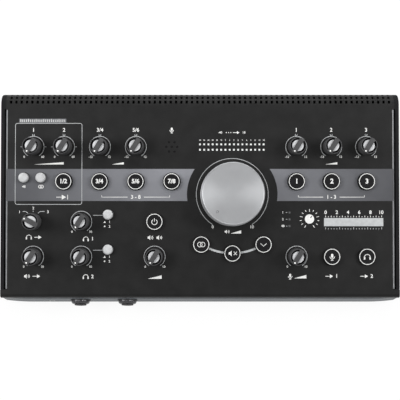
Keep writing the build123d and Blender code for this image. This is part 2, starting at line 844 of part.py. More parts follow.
def make_knob(name, u, v, angle):
    """A small knob: a moulding with a grip between two pockets, an insert in each, and the shaft."""
    base = pointer_plane(u, v, knob_gap, angle)
    side_plane = Plane(origin=base.origin, x_dir=base.x_dir, z_dir=-base.y_dir)
    with BuildPart() as moulding:
        with BuildSketch(side_plane):
            with BuildLine():
                Polyline(
                    (0, 0),
                    (knob_radius, 0),
                    (knob_top_radius, knob_height - knob_edge),
                    (knob_top_radius - knob_edge, knob_height),
                    (0, knob_height),
                    close=True,
                )
            make_face()
        revolve(axis=Axis(base.origin, base.z_dir))
        with BuildSketch(base.offset(knob_height)):
            Circle(pocket_radius)
            Rectangle(grip_width, 2 * knob_radius, mode=Mode.SUBTRACT)
        extrude(amount=-pocket_depth, mode=Mode.SUBTRACT)
        with BuildSketch(base):
            Circle(shaft_radius)
        extrude(amount=shaft_seat, mode=Mode.SUBTRACT)
    with BuildPart() as inserts:
        with BuildSketch(base.offset(knob_height - pocket_depth)):
            Circle(insert_radius)
            Rectangle(grip_width, 2 * knob_radius, mode=Mode.SUBTRACT)
        extrude(amount=insert_thick)
    shaft_low = pot_height - board_drop - pot_bore_depth + stem_clear
    with BuildPart() as shaft:
        with BuildSketch(pointer_plane(u, v, shaft_low, angle)):
            Circle(shaft_radius)
        extrude(amount=knob_gap + shaft_seat - shaft_low)
    knob = Compound(children=[moulding.part, *inserts.solids(), shaft.part])
    write(knob, f"knob_{name}")


for name, (u, v) in knob_spots.items():
    make_knob(name, u, v, cue_start if name == "cue_source" else pot_start)

# Volume knob: a turned aluminium cap, open below, with a boss for its shaft
volume_base = pointer_plane(volume_u, volume_v, knob_gap, volume_start)
with BuildPart() as volume_knob:
    with BuildSketch(Plane(origin=volume_base.origin, x_dir=volume_base.x_dir, z_dir=-volume_base.y_dir)):
        with BuildLine():
            Polyline(
                (shaft_radius, volume_wall),
                (volume_boss, volume_wall),
                (volume_boss, volume_height - volume_wall),
                (volume_radius - volume_wall, volume_height - volume_wall),
                (volume_base_radius - volume_wall, 0),
                (volume_base_radius, 0),
                (volume_radius, volume_height - volume_edge),
                (volume_radius - volume_edge, volume_height),
                (0, volume_height),
                (0, volume_height - volume_wall),
                (shaft_radius, volume_height - volume_wall),
                close=True,
            )
        make_face()
    revolve(axis=Axis(volume_base.origin, volume_base.z_dir))
    with BuildSketch(volume_base.offset(volume_height)):
        with Locations((0, volume_dimple_reach)):
            Circle(volume_dimple)
    extrude(amount=-volume_dimple_depth, mode=Mode.SUBTRACT)
write(volume_knob.part, "volume_knob")

volume_shaft_low = pot_height - board_drop - pot_bore_depth + stem_clear
with BuildPart() as volume_shaft:
    with BuildSketch(pointer_plane(volume_u, volume_v, volume_shaft_low, volume_start)):
        Circle(shaft_radius)
    extrude(amount=knob_gap + volume_height - volume_wall - volume_shaft_low)
write(volume_shaft.part, "volume_shaft")


def make_button(name, u, v, radius, height, edge, travel):
    """A push button: a cap through the panel, two ears that stop it below, and a stem to its switch."""
    ears_top = -cover_sheet - stem_clear
    ears_low = ears_top - ear_thick
    stem_low = switch_height - board_drop - stem_clear - (switch_well - travel) / 3
    with BuildPart() as button:
        with BuildSketch(pointer_plane(u, v, ears_low, 0)):
            Circle(radius)
        extrude(amount=height - ears_low)
        chamfer(button.faces().sort_by(Axis(panel.origin, panel.z_dir))[-1].edges(), length=edge)
        with BuildSketch(pointer_plane(u, v, ears_low, 0)):
            Rectangle(2 * (radius + ear_reach), ear_width)
        extrude(amount=ear_thick)
        with BuildSketch(pointer_plane(u, v, ears_low, 0)):
            Rectangle(stem, stem)
        extrude(amount=stem_low - ears_low)
    write(button.part, f"button_{name}")


for name, (u, v) in button_spots.items():
    make_button(name, u, v, button_radius, button_height, button_edge, button_travel)
for name, (u, v) in small_button_spots.items():
    make_button(name, u, v, small_button_radius, small_button_height, small_button_edge, small_button_travel)
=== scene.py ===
"""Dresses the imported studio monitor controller: finishes, controls, sockets and print."""
import json
import math

import bmesh
import bpy
from mathutils import Matrix, Vector


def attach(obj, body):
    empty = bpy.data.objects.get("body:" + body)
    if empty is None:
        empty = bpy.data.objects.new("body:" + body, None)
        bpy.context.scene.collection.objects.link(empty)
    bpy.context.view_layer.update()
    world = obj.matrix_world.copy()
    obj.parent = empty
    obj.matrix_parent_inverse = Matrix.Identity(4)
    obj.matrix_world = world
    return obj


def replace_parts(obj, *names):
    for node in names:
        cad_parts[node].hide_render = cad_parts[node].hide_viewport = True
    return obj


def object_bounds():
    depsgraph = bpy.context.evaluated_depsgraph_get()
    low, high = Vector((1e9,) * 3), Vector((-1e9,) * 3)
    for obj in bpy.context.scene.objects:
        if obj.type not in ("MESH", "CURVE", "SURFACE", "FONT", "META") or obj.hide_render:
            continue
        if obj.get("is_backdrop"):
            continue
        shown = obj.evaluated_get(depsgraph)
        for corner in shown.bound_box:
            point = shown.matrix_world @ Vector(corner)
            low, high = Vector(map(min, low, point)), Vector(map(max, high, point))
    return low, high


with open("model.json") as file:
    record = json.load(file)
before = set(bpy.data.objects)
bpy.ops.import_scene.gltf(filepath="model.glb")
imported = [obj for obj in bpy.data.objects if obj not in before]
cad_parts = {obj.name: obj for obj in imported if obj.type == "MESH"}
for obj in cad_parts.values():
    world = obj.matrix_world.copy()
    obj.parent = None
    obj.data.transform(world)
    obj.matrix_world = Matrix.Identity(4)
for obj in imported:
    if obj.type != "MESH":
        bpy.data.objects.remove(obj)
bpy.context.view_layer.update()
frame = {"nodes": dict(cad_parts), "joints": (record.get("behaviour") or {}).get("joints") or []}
joints = {joint["name"]: joint for joint in frame["joints"]}
nodes = frame["nodes"]

# Lengths are in millimetres, and MILLIMETRE brings a finished mesh to the frame's metres.
MILLIMETRE = Matrix.Scale(0.001, 4)
INK = 0.04  # thickness of the band's print
TOP_INK = 0.07  # thickness of the prints that cross it
LIFTS = (0.001, 0.002, 0.003)  # bold lines, marks and figures, so that no two prints share a face
CREASE = math.radians(32)  # edges that turn by more than this stay crisp

# A place on the panel is (u, v): u to the right of its middle, v up the slope from its front corner.
VOLUME_PLACE = (32.0, 101.7)
KNOB_START = -148.0  # pointers at rest, in degrees clockwise from straight up the panel
CUE_START = -62.0
VOLUME_START = -139.0

# Small knob
KNOB_GAP = 0.6
KNOB_RADIUS = 8.3
KNOB_TOP_RADIUS = 8.1
KNOB_HEIGHT = 17.0
KNOB_EDGE = 0.5
GRIP_WIDTH = 4.8
POCKET_RADIUS = 7.35
POCKET_DEPTH = 4.2
INSERT_RADIUS = 5.6
INSERT_THICK = 2.4
POINTER_RADIUS = 0.72
POINTER_REACH = 6.4
SHAFT_RADIUS = 3.0
SHAFT_LOW = -6.0

# Volume knob
VOLUME_RADIUS = 30.6
VOLUME_BASE_RADIUS = 31.6
VOLUME_HEIGHT = 25.98
VOLUME_EDGE = 0.8
DISH = 0.12  # how far the face sinks at its rim, and again to its middle
DIMPLE_RADIUS = 1.3
DIMPLE_REACH = 23.2

# Round buttons
BUTTON_HEIGHT = 4.0
RING_RADIUS = 7.55
RING_WIDTH = 0.65
SURROUND_RADIUS = 9.0  # the dark ring that the band leaves round a button
SMALL_SURROUND_RADIUS = 5.6

out_of_panel = -Vector(joints["turn_volume"]["axis"]).normalized()
right = Vector((1, 0, 0))
up_panel = out_of_panel.cross(right)
panel_axes = Matrix((right, up_panel, out_of_panel)).transposed().to_4x4()
volume_spot = Vector(joints["turn_volume"]["pos_m"])
panel_corner = volume_spot - (right * VOLUME_PLACE[0] + up_panel * VOLUME_PLACE[1]) / 1000


def on_panel(place=(0, 0), turn=0.0, rise=0.0):
    """The matrix of a place on the panel, turned clockwise by some degrees and raised off the sheet."""
    origin = panel_corner + (right * place[0] + up_panel * place[1] + out_of_panel * rise) / 1000
    spin = Matrix.Rotation(-math.radians(turn), 4, "Z")
    return Matrix.Translation(origin) @ panel_axes @ spin @ MILLIMETRE


def facing(middle, across, up):
    """The matrix of a flat place off the panel, from its middle in millimetres, its right and its up."""
    across, up = Vector(across), Vector(up)
    axes = Matrix((across, up, across.cross(up))).transposed().to_4x4()
    return Matrix.Translation(Vector(middle) / 1000) @ axes @ MILLIMETRE


def on_rear(x, z, depth):
    """A place seen from behind, on a face that stands that far back."""
    return facing((x, depth, z), (-1, 0, 0), (0, 0, 1))


def on_front(x, z, depth):
    """A place seen from the front, on a face that stands that far back."""
    return facing((x, depth, z), (1, 0, 0), (0, 0, 1))


def solids_of(node):
    """The low and high corners, in millimetres, of each loose solid of a node."""
    shape = bmesh.new()
    shape.from_mesh(nodes[node].data)
    bmesh.ops.remove_doubles(shape, verts=shape.verts, dist=1e-6)
    waiting = set(shape.verts)
    boxes = []
    while waiting:
        front = [waiting.pop()]
        spots = []
        while front:
            corner = front.pop()
            spots.append(corner.co * 1000)
            fresh = {edge.other_vert(corner) for edge in corner.link_edges} & waiting
            waiting -= fresh
            front += fresh
        low = Vector(min(spot[axis] for spot in spots) for axis in range(3))
        high = Vector(max(spot[axis] for spot in spots) for axis in range(3))
        boxes.append((low, high))
    shape.free()
    return sorted(boxes, key=lambda box: (round(box[0].x, 2), round(box[0].z, 2)))


def middles_of(node):
    """The middle, in millimetres, of each loose solid of a node."""
    return [(low + high) / 2 for low, high in solids_of(node)]


def place_of(node):
    """Where the middle of a knob, a button or a light stands on the panel."""
    offsets = [vertex.co - panel_corner for vertex in nodes[node].data.vertices]
    spans = [[offset.dot(axis) * 1000 for offset in offsets] for axis in (right, up_panel)]
    return tuple((min(span) + max(span)) / 2 for span in spans)


# ---------------------------------------------------------------- finishes


def tint(red, green, blue):
    """A colour from its 0 to 255 display values."""
    linear = [
        value / 255 / 12.92 if value <= 10 else ((value / 255 + 0.055) / 1.055) ** 2.4
        for value in (red, green, blue)
    ]
    return (*linear, 1.0)


def fill(tree, node, inputs):
    """Sets a node's inputs, each to a value or from another node's output."""
    for key, value in inputs.items():
        if isinstance(value, bpy.types.NodeSocket):
            tree.links.new(value, node.inputs[key])
        else:
            node.inputs[key].default_value = value


def add_node(tree, kind, inputs=None, **settings):
    """A new node with its settings and its inputs."""
    node = tree.nodes.new(kind)
    for key, value in settings.items():
        setattr(node, key, value)
    fill(tree, node, inputs or {})
    return node


def finish(name, dark, light, patch, rough, metal=0.0, grain=0.5, depth=0.0, coat=0.0, gloss=0.5):
    """A material that wanders between two tints in patches of that size, with a fine grain."""
    material = bpy.data.materials.new(name)
    material.use_nodes = True
    tree = material.node_tree
    where = add_node(tree, "ShaderNodeTexCoord").outputs["Object"]
    mottle = add_node(
        tree, "ShaderNodeTexNoise", {"Vector": where, "Scale": 1000 / patch, "Detail": 3.0}
    )
    tints = add_node(tree, "ShaderNodeValToRGB", {"Fac": mottle.outputs["Fac"]})
    tints.color_ramp.elements[0].position = 0.3
    tints.color_ramp.elements[0].color = tint(*dark)
    tints.color_ramp.elements[1].position = 0.7
    tints.color_ramp.elements[1].color = tint(*light)
    shader = tree.nodes["Principled BSDF"]
    fill(tree, shader, {
        "Base Color": tints.outputs["Color"],
        "Roughness": rough,
        "Metallic": metal,
        "Coat Weight": coat,
        "Coat Roughness": 0.15,
        "Specular IOR Level": gloss,
    })
    if depth:
        texture = add_node(
            tree, "ShaderNodeTexNoise", {"Vector": where, "Scale": 1000 / grain, "Detail": 2.0}
        )
        bump = add_node(
            tree, "ShaderNodeBump", {"Height": texture.outputs["Fac"], "Distance": depth / 1000}
        )
        fill(tree, shader, {"Normal": bump.outputs["Normal"]})
    return material


charcoal_coat = finish(
    "charcoal_powder_coat", (20, 20, 20), (27, 27, 27), 14, 0.48, grain=0.45, depth=0.03, gloss=0.14
)
coat_shader = charcoal_coat.node_tree.nodes["Principled BSDF"]
coat_shader.inputs["Sheen Weight"].default_value = 0.06  # the powder coat pales where it turns away
coat_shader.inputs["Sheen Roughness"].default_value = 0.4
cheek_moulding = finish(
    "cheek_moulding", (21, 21, 22), (26, 26, 27), 18, 0.5, grain=0.3, depth=0.015, gloss=0.06
)
fascia_coat = finish(
    "fascia_grey_coat", (81, 86, 91), (89, 94, 99), 20, 0.45, grain=0.4, depth=0.01, gloss=0.22
)
floor_coat = finish(
    "floor_black_coat", (26, 26, 27), (32, 32, 33), 16, 0.6, grain=0.45, depth=0.03, gloss=0.2
)
rear_coat = finish(
    "rear_black_coat", (28, 28, 29), (34, 34, 35), 16, 0.5, grain=0.45, depth=0.03, gloss=0.2
)
tab_ink = finish(
    "grey_tab_ink", (92, 93, 96), (104, 105, 108), 3, 0.55, grain=0.2, depth=0.004, gloss=0.2
)
contact_gold = finish(
    "contact_gold", (196, 160, 88), (214, 182, 112), 1, 0.3, metal=1.0, grain=0.1, depth=0.003
)
# Painted shade: near black for the insides of holes and dimples
painted_hole_shade = finish("painted_hole_shade", (8, 8, 8), (13, 13, 13), 1, 0.7, grain=0.1, depth=0.003, gloss=0.1)
# Painted highlight: a light grey for the bends along both sides of the cover
bend_highlight_paint = finish(
    "rubbed_bend", (110, 111, 113), (128, 129, 131), 6, 0.4, grain=0.4, depth=0.01, gloss=0.3
)
white_ink = finish("white_legend_ink", (206, 206, 204), (218, 218, 216), 3, 0.55, grain=0.2, depth=0.004)
pale_ink = finish("pale_line_ink", (160, 162, 163), (176, 178, 179), 3, 0.55, grain=0.2, depth=0.004)
frame_ink = finish(
    "window_frame_ink", (24, 24, 24), (30, 30, 30), 3, 0.6, grain=0.2, depth=0.004, gloss=0.2
)
knob_plastic = finish(
    "knob_moulding", (60, 60, 61), (70, 70, 71), 5, 0.5, grain=0.18, depth=0.012, gloss=0.15
)
# Painted shade: a darker plastic for the walls and floors of the knobs' pockets
pocket_painted_shade = finish(
    "knob_pocket_painted_shade", (26, 26, 27), (34, 34, 35), 4, 0.6, grain=0.18, depth=0.012, gloss=0.1
)
insert_satin = finish(
    "insert_satin_grey", (190, 191, 193), (199, 200, 202), 7, 0.45, 0.1, grain=0.1, depth=0.004, gloss=0.25
)
pointer_white = finish(
    "pointer_white", (236, 236, 234), (244, 244, 242), 1, 0.45, grain=0.1, depth=0.003
)
button_plastic = finish(
    "button_black", (16, 16, 17), (22, 22, 23), 5, 0.4, grain=0.2, depth=0.006, gloss=0.12
)
white_plastic = finish("button_white", (170, 171, 172), (182, 183, 184), 4, 0.4, grain=0.2, depth=0.008)
lens_plastic = finish(
    "meter_lens", (206, 208, 206), (226, 228, 226), 1.5, 0.22, grain=0.2, depth=0.004, coat=0.4
)
smoked_lens = finish(
    "status_lens", (70, 71, 72), (88, 89, 90), 1.5, 0.22, grain=0.2, depth=0.004, coat=0.4
)
shaft_steel = finish(
    "shaft_steel", (150, 150, 152), (170, 170, 172), 2, 0.3, metal=1.0, grain=0.1, depth=0.004
)
board_green = finish("board_laminate", (18, 62, 38), (26, 74, 46), 6, 0.4, grain=0.4, depth=0.01)
case_black = finish("component_case", (22, 22, 23), (30, 30, 31), 3, 0.5, grain=0.2, depth=0.01)
standoff_nickel = finish(
    "standoff_nickel", (150, 148, 142), (172, 170, 164), 2, 0.3, metal=1.0, grain=0.2, depth=0.004
)
socket_plastic = finish(
    "socket_black", (18, 18, 19), (25, 25, 26), 4, 0.45, grain=0.25, depth=0.01, gloss=0.18
)
shell_nickel = finish(
    "socket_shell_nickel", (156, 156, 156), (180, 180, 180), 3, 0.28, metal=1.0, grain=0.2, depth=0.004
)
nut_nickel = finish(
    "nut_black_chrome", (58, 58, 60), (78, 78, 80), 2.5, 0.32, metal=0.9, grain=0.2, depth=0.006
)
washer_steel = finish(
    "washer_black", (38, 38, 39), (52, 52, 53), 2.5, 0.45, metal=0.6, grain=0.2, depth=0.006
)
screw_black = finish(
    "screw_black_zinc", (40, 40, 42), (62, 62, 64), 1.5, 0.36, metal=0.8, grain=0.15, depth=0.006
)
foot_rubber = finish("foot_rubber", (20, 20, 20), (30, 30, 30), 4, 0.78, grain=0.3, depth=0.03)


# Each fade of the band's painted shade: the axis, how it is read, where it starts and ends in metres, and
# the share kept at its end
BAND_SHADE_FADES = (("X", "ABSOLUTE", 0.02, 0.195, 0.33), ("Y", "ADD", 0.02, -0.02, 0.84))


def band_finish():
    """The band's grey ink, darkened by painted shade towards both ends and a little towards the front."""
    material = finish(
        "grey_band_ink_and_painted_shade", (123, 124, 129), (129, 130, 135), 18, 0.5, grain=0.35, depth=0.006, gloss=0.12
    )
    tree = material.node_tree
    tints = next(node for node in tree.nodes if node.type == "VALTORGB")
    where = next(node for node in tree.nodes if node.type == "TEX_COORD")
    split = add_node(tree, "ShaderNodeSeparateXYZ", {"Vector": where.outputs["Object"]})
    fades = []
    for axis, way, start, end, keep in BAND_SHADE_FADES:
        run = add_node(tree, "ShaderNodeMath", {0: split.outputs[axis], 1: 0.0}, operation=way)
        limits = {"From Min": start, "From Max": end, "To Min": 1.0, "To Max": keep}
        fades.append(
            add_node(tree, "ShaderNodeMapRange", {"Value": run.outputs[0], **limits}).outputs[0]
        )
    both = add_node(tree, "ShaderNodeMath", dict(enumerate(fades)), operation="MULTIPLY")
    scaled = {0: tints.outputs["Color"], "Scale": both.outputs[0]}
    faded = add_node(tree, "ShaderNodeVectorMath", scaled, operation="SCALE")
    fill(tree, tree.nodes["Principled BSDF"], {"Base Color": faded.outputs[0]})
    return material


band_ink_and_shade = band_finish()

SLOT_FINISHES = {
    "cover_paint": charcoal_coat,
    "cheek_moulding": cheek_moulding,
    "fascia_paint": fascia_coat,
    "floor_paint": floor_coat,
    "rear_paint": rear_coat,
    "board_laminate": board_green,
    "component_case": case_black,
    "light_lens": lens_plastic,
    "standoff_metal": standoff_nickel,
    "socket_moulding": socket_plastic,
    "socket_shell": shell_nickel,
    "washer_metal": washer_steel,
    "nut_metal": nut_nickel,
    "switch_moulding": socket_plastic,
    "screw_steel": screw_black,
    "foot_rubber": foot_rubber,
    "turned_aluminium": shaft_steel,
    "shaft_steel": shaft_steel,
    "knob_moulding": knob_plastic,
    "button_moulding": button_plastic,
    "white_button": white_plastic,
}
for node in nodes.values():
    for holder in node.material_slots:
        holder.material = SLOT_FINISHES[holder.material.name]
nodes["status_lights"].material_slots[0].material = smoked_lens


CALM_MIDDLE = -1.35  # the rings' streaks fade in between these two places on the "around" map
CALM_END = -0.2


def turned_finish(name):
    """Turned aluminium with fine rings round its middle, whose streaks are calm near the middle."""
    material = finish(name, (155, 156, 158), (159, 160, 162), 12, 0.44, metal=1.0)
    tree = material.node_tree
    around = add_node(tree, "ShaderNodeUVMap", uv_map="around").outputs["UV"]
    split = add_node(tree, "ShaderNodeSeparateXYZ", {"Vector": around})
    limits = {"From Min": CALM_MIDDLE, "From Max": CALM_END, "To Min": 0.0, "To Max": 0.52}
    run = {"Value": split.outputs["Y"], **limits}
    calm = add_node(tree, "ShaderNodeMapRange", run, interpolation_type="SMOOTHSTEP")
    tangent = add_node(tree, "ShaderNodeTangent", direction_type="UV_MAP", uv_map="around")
    ripple = {"Vector": around, "Scale": 24.0, "Distortion": 0.6, "Detail": 2.0}
    rings = add_node(tree, "ShaderNodeTexWave", ripple, wave_type="BANDS", bands_direction="Y")
    bump = add_node(tree, "ShaderNodeBump", {"Height": rings.outputs["Fac"], "Distance": 0.00001})
    fill(tree, tree.nodes["Principled BSDF"], {
        "Anisotropic": calm.outputs["Result"],
        "Anisotropic Rotation": 0.25,
        "Tangent": tangent.outputs["Tangent"],
        "Normal": bump.outputs["Normal"],
    })
    return material


turned_aluminium = turned_finish("turned_aluminium")

# ---------------------------------------------------------------- building


def lay(mesh, place):
    """Brings a mesh built in millimetres to its place in the frame."""
    mesh.transform(place)
    mesh.update()
    return mesh


def gather(meshes):
    """One mesh out of several, which keeps their finish numbers."""
    everything = bmesh.new()
    for mesh in meshes:
        everything.from_mesh(mesh)
        bpy.data.meshes.remove(mesh)
    joined = bpy.data.meshes.new("joined")
    everything.to_mesh(joined)
    everything.free()
    return joined


def piece(name, mesh, finishes, body, crease=CREASE):
    """A finished piece of the object, which rides on a body."""
    mesh.name = name
    numbers = [face.material_index for face in mesh.polygons]
    mesh.materials.clear()
    for material in finishes:
        mesh.materials.append(material)
    mesh.polygons.foreach_set("material_index", numbers)
    mesh.shade_smooth()
    mesh.set_sharp_from_angle(angle=crease)
    made = bpy.data.objects.new(name, mesh)
    bpy.context.collection.objects.link(made)
    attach(made, body)
    return made


def panel_piece(name, mesh, ink):
    """A piece of one ink that lies on the panel."""
    return piece(name, lay(mesh, on_panel()), [ink], "root")


def closed(shape, merge=1e-4):
    """The mesh of a bmesh, with its doubles merged and its faces turned outwards."""
    bmesh.ops.remove_doubles(shape, verts=shape.verts, dist=merge)
    bmesh.ops.recalc_face_normals(shape, faces=shape.faces)
    mesh = bpy.data.meshes.new("shape")
    shape.to_mesh(mesh)
    shape.free()
    return mesh


def turn_profile(shape, profile, segments=64, ring=False):
    """Turns a profile of (radius, height) points about an axis. A ring's profile closes on itself."""
    turns = [math.tau * step / segments for step in range(segments)]
    rows = []
    for radius, height in profile:
        if radius == 0:
            rows.append([shape.verts.new((0, 0, height))] * segments)
            continue
        rows.append(
            [shape.verts.new((radius * math.cos(a), radius * math.sin(a), height)) for a in turns]
        )
    pairs = list(zip(rows, rows[1:])) + ([(rows[-1], rows[0])] if ring else [])
    for low, high in pairs:
        for step in range(segments):
            following = (step + 1) % segments
            corners = []
            for corner in (low[step], low[following], high[following], high[step]):
                if corner not in corners:
                    corners.append(corner)
            shape.faces.new(corners)


def turned(profile, segments=64, ring=False):
    """The mesh of a turned profile."""
    shape = bmesh.new()
    turn_profile(shape, profile, segments, ring)
    return closed(shape)


def stand_in(data):
    """An object that holds a mesh or a curve while it is worked on."""
    made = bpy.data.objects.new("stand_in", data)
    bpy.context.collection.objects.link(made)
    return made


def melted(made):
    """The plain mesh of a stand-in with its modifiers. The stand-in goes."""
    result = evaluated(made)
    bpy.data.objects.remove(made)
    return result


def cut_away(body, cutter):
    """The body's mesh with the cutter's taken out of it."""
    keeper, tool = stand_in(body), stand_in(cutter)
    taking = keeper.modifiers.new("taking", "BOOLEAN")
    taking.object = tool
    taking.operation = "DIFFERENCE"
    taking.solver = "EXACT"
    result = melted(keeper)
    bpy.data.objects.remove(tool)
    return result


def evaluated(made):
    """A plain mesh of an object with its modifiers."""
    graph = bpy.context.evaluated_depsgraph_get()
    graph.update()
    return bpy.data.meshes.new_from_object(
        made.evaluated_get(graph), preserve_all_data_layers=True, depsgraph=graph
    )


def soften(mesh, width, segments=2, angle=CREASE):
    """Rounds a mesh's sharp edges."""
    made = stand_in(mesh)
    rounding = made.modifiers.new("rounding", "BEVEL")
    rounding.width = width
    rounding.segments = segments
    rounding.limit_method = "ANGLE"
    rounding.angle_limit = angle
    return melted(made)


# ---------------------------------------------------------------- print on the panel


def new_tree(name, *inputs):
    """An empty node tree with the named inputs, and their identifiers."""
    tree = bpy.data.node_groups.new(name, "GeometryNodeTree")
    tree.interface.new_socket("Geometry", in_out="INPUT", socket_type="NodeSocketGeometry")
    keys = {}
    for label, kind in inputs:
        keys[label] = tree.interface.new_socket(label, in_out="INPUT", socket_type=kind).identifier
    tree.interface.new_socket("Geometry", in_out="OUTPUT", socket_type="NodeSocketGeometry")
    return tree, keys


def hand_out(tree, last, coat):
    """Makes a plain mesh of what the last node gives, coats it and hands it out."""
    solid = add_node(tree, "GeometryNodeRealizeInstances", {0: last.outputs[0]})
    coated = add_node(tree, "GeometryNodeSetMaterial", {"Geometry": solid.outputs[0], "Material": coat})
    add_node(tree, "NodeGroupOutput", {0: coated.outputs[0]})


def oblong(tree, width, height):
    """A rectangle's path."""
    return add_node(
        tree, "GeometryNodeCurvePrimitiveQuadrilateral", {"Width": width, "Height": height}
    ).outputs[0]


def line_tree():
    """Prints each path of loose edges as a line of ink."""
    tree, keys = new_tree(
        "printed_line",
        ("Line width", "NodeSocketFloat"),
        ("Ink thickness", "NodeSocketFloat"),
        ("Ink", "NodeSocketMaterial"),
    )
    source = add_node(tree, "NodeGroupInput").outputs
    path = add_node(tree, "GeometryNodeMeshToCurve", {0: source["Geometry"]})
    upright = add_node(tree, "GeometryNodeSetCurveNormal", {0: path.outputs[0]}, mode="Z_UP")
    section = oblong(tree, source["Line width"], source["Ink thickness"])
    swept = {"Curve": upright.outputs[0], "Profile Curve": section, "Fill Caps": True}
    hand_out(tree, add_node(tree, "GeometryNodeCurveToMesh", swept), source["Ink"])
    return tree, keys


def grown(mesh, tree, keys, settings):
    """The plain mesh that a node tree makes of a mesh, with its inputs set."""
    made = stand_in(mesh)
    growth = made.modifiers.new("growth", "NODES")
    growth.node_group = tree
    for label, value in settings.items():
        growth[keys[label]] = value
    return melted(made)


printed_line, line_keys = line_tree()


def set_tree():
    """Sets a copy of a model on every point of a mesh, each turned by chance within a range."""
    tree, keys = new_tree(
        "set_on_points",
        ("Model", "NodeSocketObject"),
        ("Turn range", "NodeSocketFloat"),
        ("Seed", "NodeSocketInt"),
        ("Finish", "NodeSocketMaterial"),
    )
    source = add_node(tree, "NodeGroupInput").outputs
    model = add_node(tree, "GeometryNodeObjectInfo", {"Object": source["Model"]})
    widest = add_node(tree, "ShaderNodeCombineXYZ", {"Z": source["Turn range"]})
    draw = {0: (0, 0, 0), 1: widest.outputs[0], "Seed": source["Seed"]}
    chance = add_node(tree, "FunctionNodeRandomValue", draw, data_type="FLOAT_VECTOR")
    spread = add_node(tree, "GeometryNodeInstanceOnPoints", {
        "Points": source["Geometry"],
        "Instance": model.outputs["Geometry"],
        "Rotation": chance.outputs[0],
    })
    hand_out(tree, spread, source["Finish"])
    return tree, keys


set_on_points, set_keys = set_tree()


def repeated(model, places, coat, turn_range=0.0):
    """A mesh with a copy of the model at every (u, v) place of a plane."""
    points = bpy.data.meshes.new("places")
    points.from_pydata([(u, v, 0) for u, v in places], [], [])
    holder = stand_in(model)
    settings = {"Model": holder, "Turn range": turn_range, "Seed": 7, "Finish": coat}
    made = grown(points, set_on_points, set_keys, settings)
    bpy.data.objects.remove(holder)
    return clean(made)


def numbered(mesh, number):
    """The mesh with every face given that finish number."""
    mesh.polygons.foreach_set("material_index", [number] * len(mesh.polygons))
    return mesh


def arc(centre, radius, start, end, step=5.0):
    """Points of an arc between two angles, clockwise from straight up the panel."""
    count = max(2, round(abs(end - start) / step))
    angles = [math.radians(start + (end - start) * part / count) for part in range(count + 1)]
    return [(centre[0] + radius * math.sin(a), centre[1] + radius * math.cos(a)) for a in angles]


def rounded_box(low, high, radius):
    """A closed path round a box with rounded corners."""
    corners = (
        ((high[0] - radius, high[1] - radius), 0),
        ((high[0] - radius, low[1] + radius), 90),
        ((low[0] + radius, low[1] + radius), 180),
        ((low[0] + radius, high[1] - radius), 270),
    )
    path = [point for centre, start in corners for point in arc(centre, radius, start, start + 90, 30)]
    return path + path[:1]


def lines(paths, width, ink, rise=0.0):
    """A mesh of printed lines on the panel's face."""
    sheet = bmesh.new()
    for path in paths:
        loop = path[0] == path[-1]
        points = [sheet.verts.new((u, v, rise + TOP_INK / 2)) for u, v in (path[:-1] if loop else path)]
        for pair in zip(points, points[1:] + (points[:1] if loop else [])):
            sheet.edges.new(pair)
    mesh = bpy.data.meshes.new("paths")
    sheet.to_mesh(mesh)
    sheet.free()
    made = grown(
        mesh, printed_line, line_keys, {"Line width": width, "Ink thickness": TOP_INK, "Ink": ink}
    )
    return clean(made)


def clean(mesh, merge=1e-4):
    """A mesh with its doubles merged and its faces turned outwards."""
    shape = bmesh.new()
    shape.from_mesh(mesh)
    bpy.data.meshes.remove(mesh)
    return closed(shape, merge)


def filled(outlines, rise=0.0, thick=TOP_INK):
    """A mesh of flat areas of print. An outline inside another is a hole in it."""
    curve = bpy.data.curves.new("area", "CURVE")
    curve.dimensions = "2D"
    curve.fill_mode = "BOTH"
    curve.extrude = thick / 2
    for outline in outlines:
        spline = curve.splines.new("POLY")
        spline.points.add(len(outline) - 1)
        for point, (u, v) in zip(spline.points, outline):
            point.co = (u, v, 0, 1)
        spline.use_cyclic_u = True
    mesh = melted(stand_in(curve))
    mesh.transform(Matrix.Translation((0, 0, rise + thick / 2)))
    return clean(mesh)


def numerals(text, place, size, weight=0.02, rise=0.0, thick=TOP_INK):
    """A mesh of printed numerals with their middle at a place."""
    words = bpy.data.curves.new("numerals", "FONT")
    words.body = text
    words.size = size
    words.align_x = "CENTER"
    words.align_y = "CENTER"
    words.resolution_u = 3
    words.offset = weight * size
    words.extrude = thick / 2
    mesh = melted(stand_in(words))
    mesh.transform(Matrix.Translation((*place, rise + thick / 2)))
    return clean(mesh, 1e-3)


def closed_path(path):
    """The path of an outline that comes back to its start."""
    return path + path[:1]


def box(low, high):
    """The outline of a box between two corners."""
    return [(low[0], low[1]), (high[0], low[1]), (high[0], high[1]), (low[0], high[1])]


def beside(place, step):
    """The place that lies a step away from another."""
    return (place[0] + step[0], place[1] + step[1])


def circle(centre, radius, count=48):
    """A closed outline."""
    return [
        (
            centre[0] + radius * math.cos(math.tau * k / count),
            centre[1] + radius * math.sin(math.tau * k / count),
        )
        for k in range(count)
    ]


def wedge(centre, length, height):
    """A level mark that grows to the right."""
    u, v = centre
    return [
        (u - length / 2, v - height / 2),
        (u + length / 2, v - height / 2),
        (u + length / 2, v + height / 2),
    ]


def headphones(centre, size):
    """Paths and areas of a headphones mark."""
    u, v = centre
    half = size / 2
    band = arc((u, v - size * 0.08), half * 0.8, -100, 100, 15)
    cups = [
        box((u + side * half * 0.55, v - half * 0.75), (u + side * half * 0.95, v - half * 0.05))
        for side in (-1, 1)
    ]
    return [band], cups


def speaker(centre, size, waves=2):
    """Paths and areas of a loudspeaker mark."""
    u, v = centre
    half = size / 2
    horn = [
        (u - half * 0.9, v - half * 0.35),
        (u - half * 0.5, v - half * 0.35),
        (u - half * 0.05, v - half * 0.8),
        (u - half * 0.05, v + half * 0.8),
        (u - half * 0.5, v + half * 0.35),
        (u - half * 0.9, v + half * 0.35),
    ]
    sound = [arc((u - half * 0.05, v), half * (0.5 + 0.38 * k), 50, 130, 20) for k in range(waves)]
    return sound, [horn]


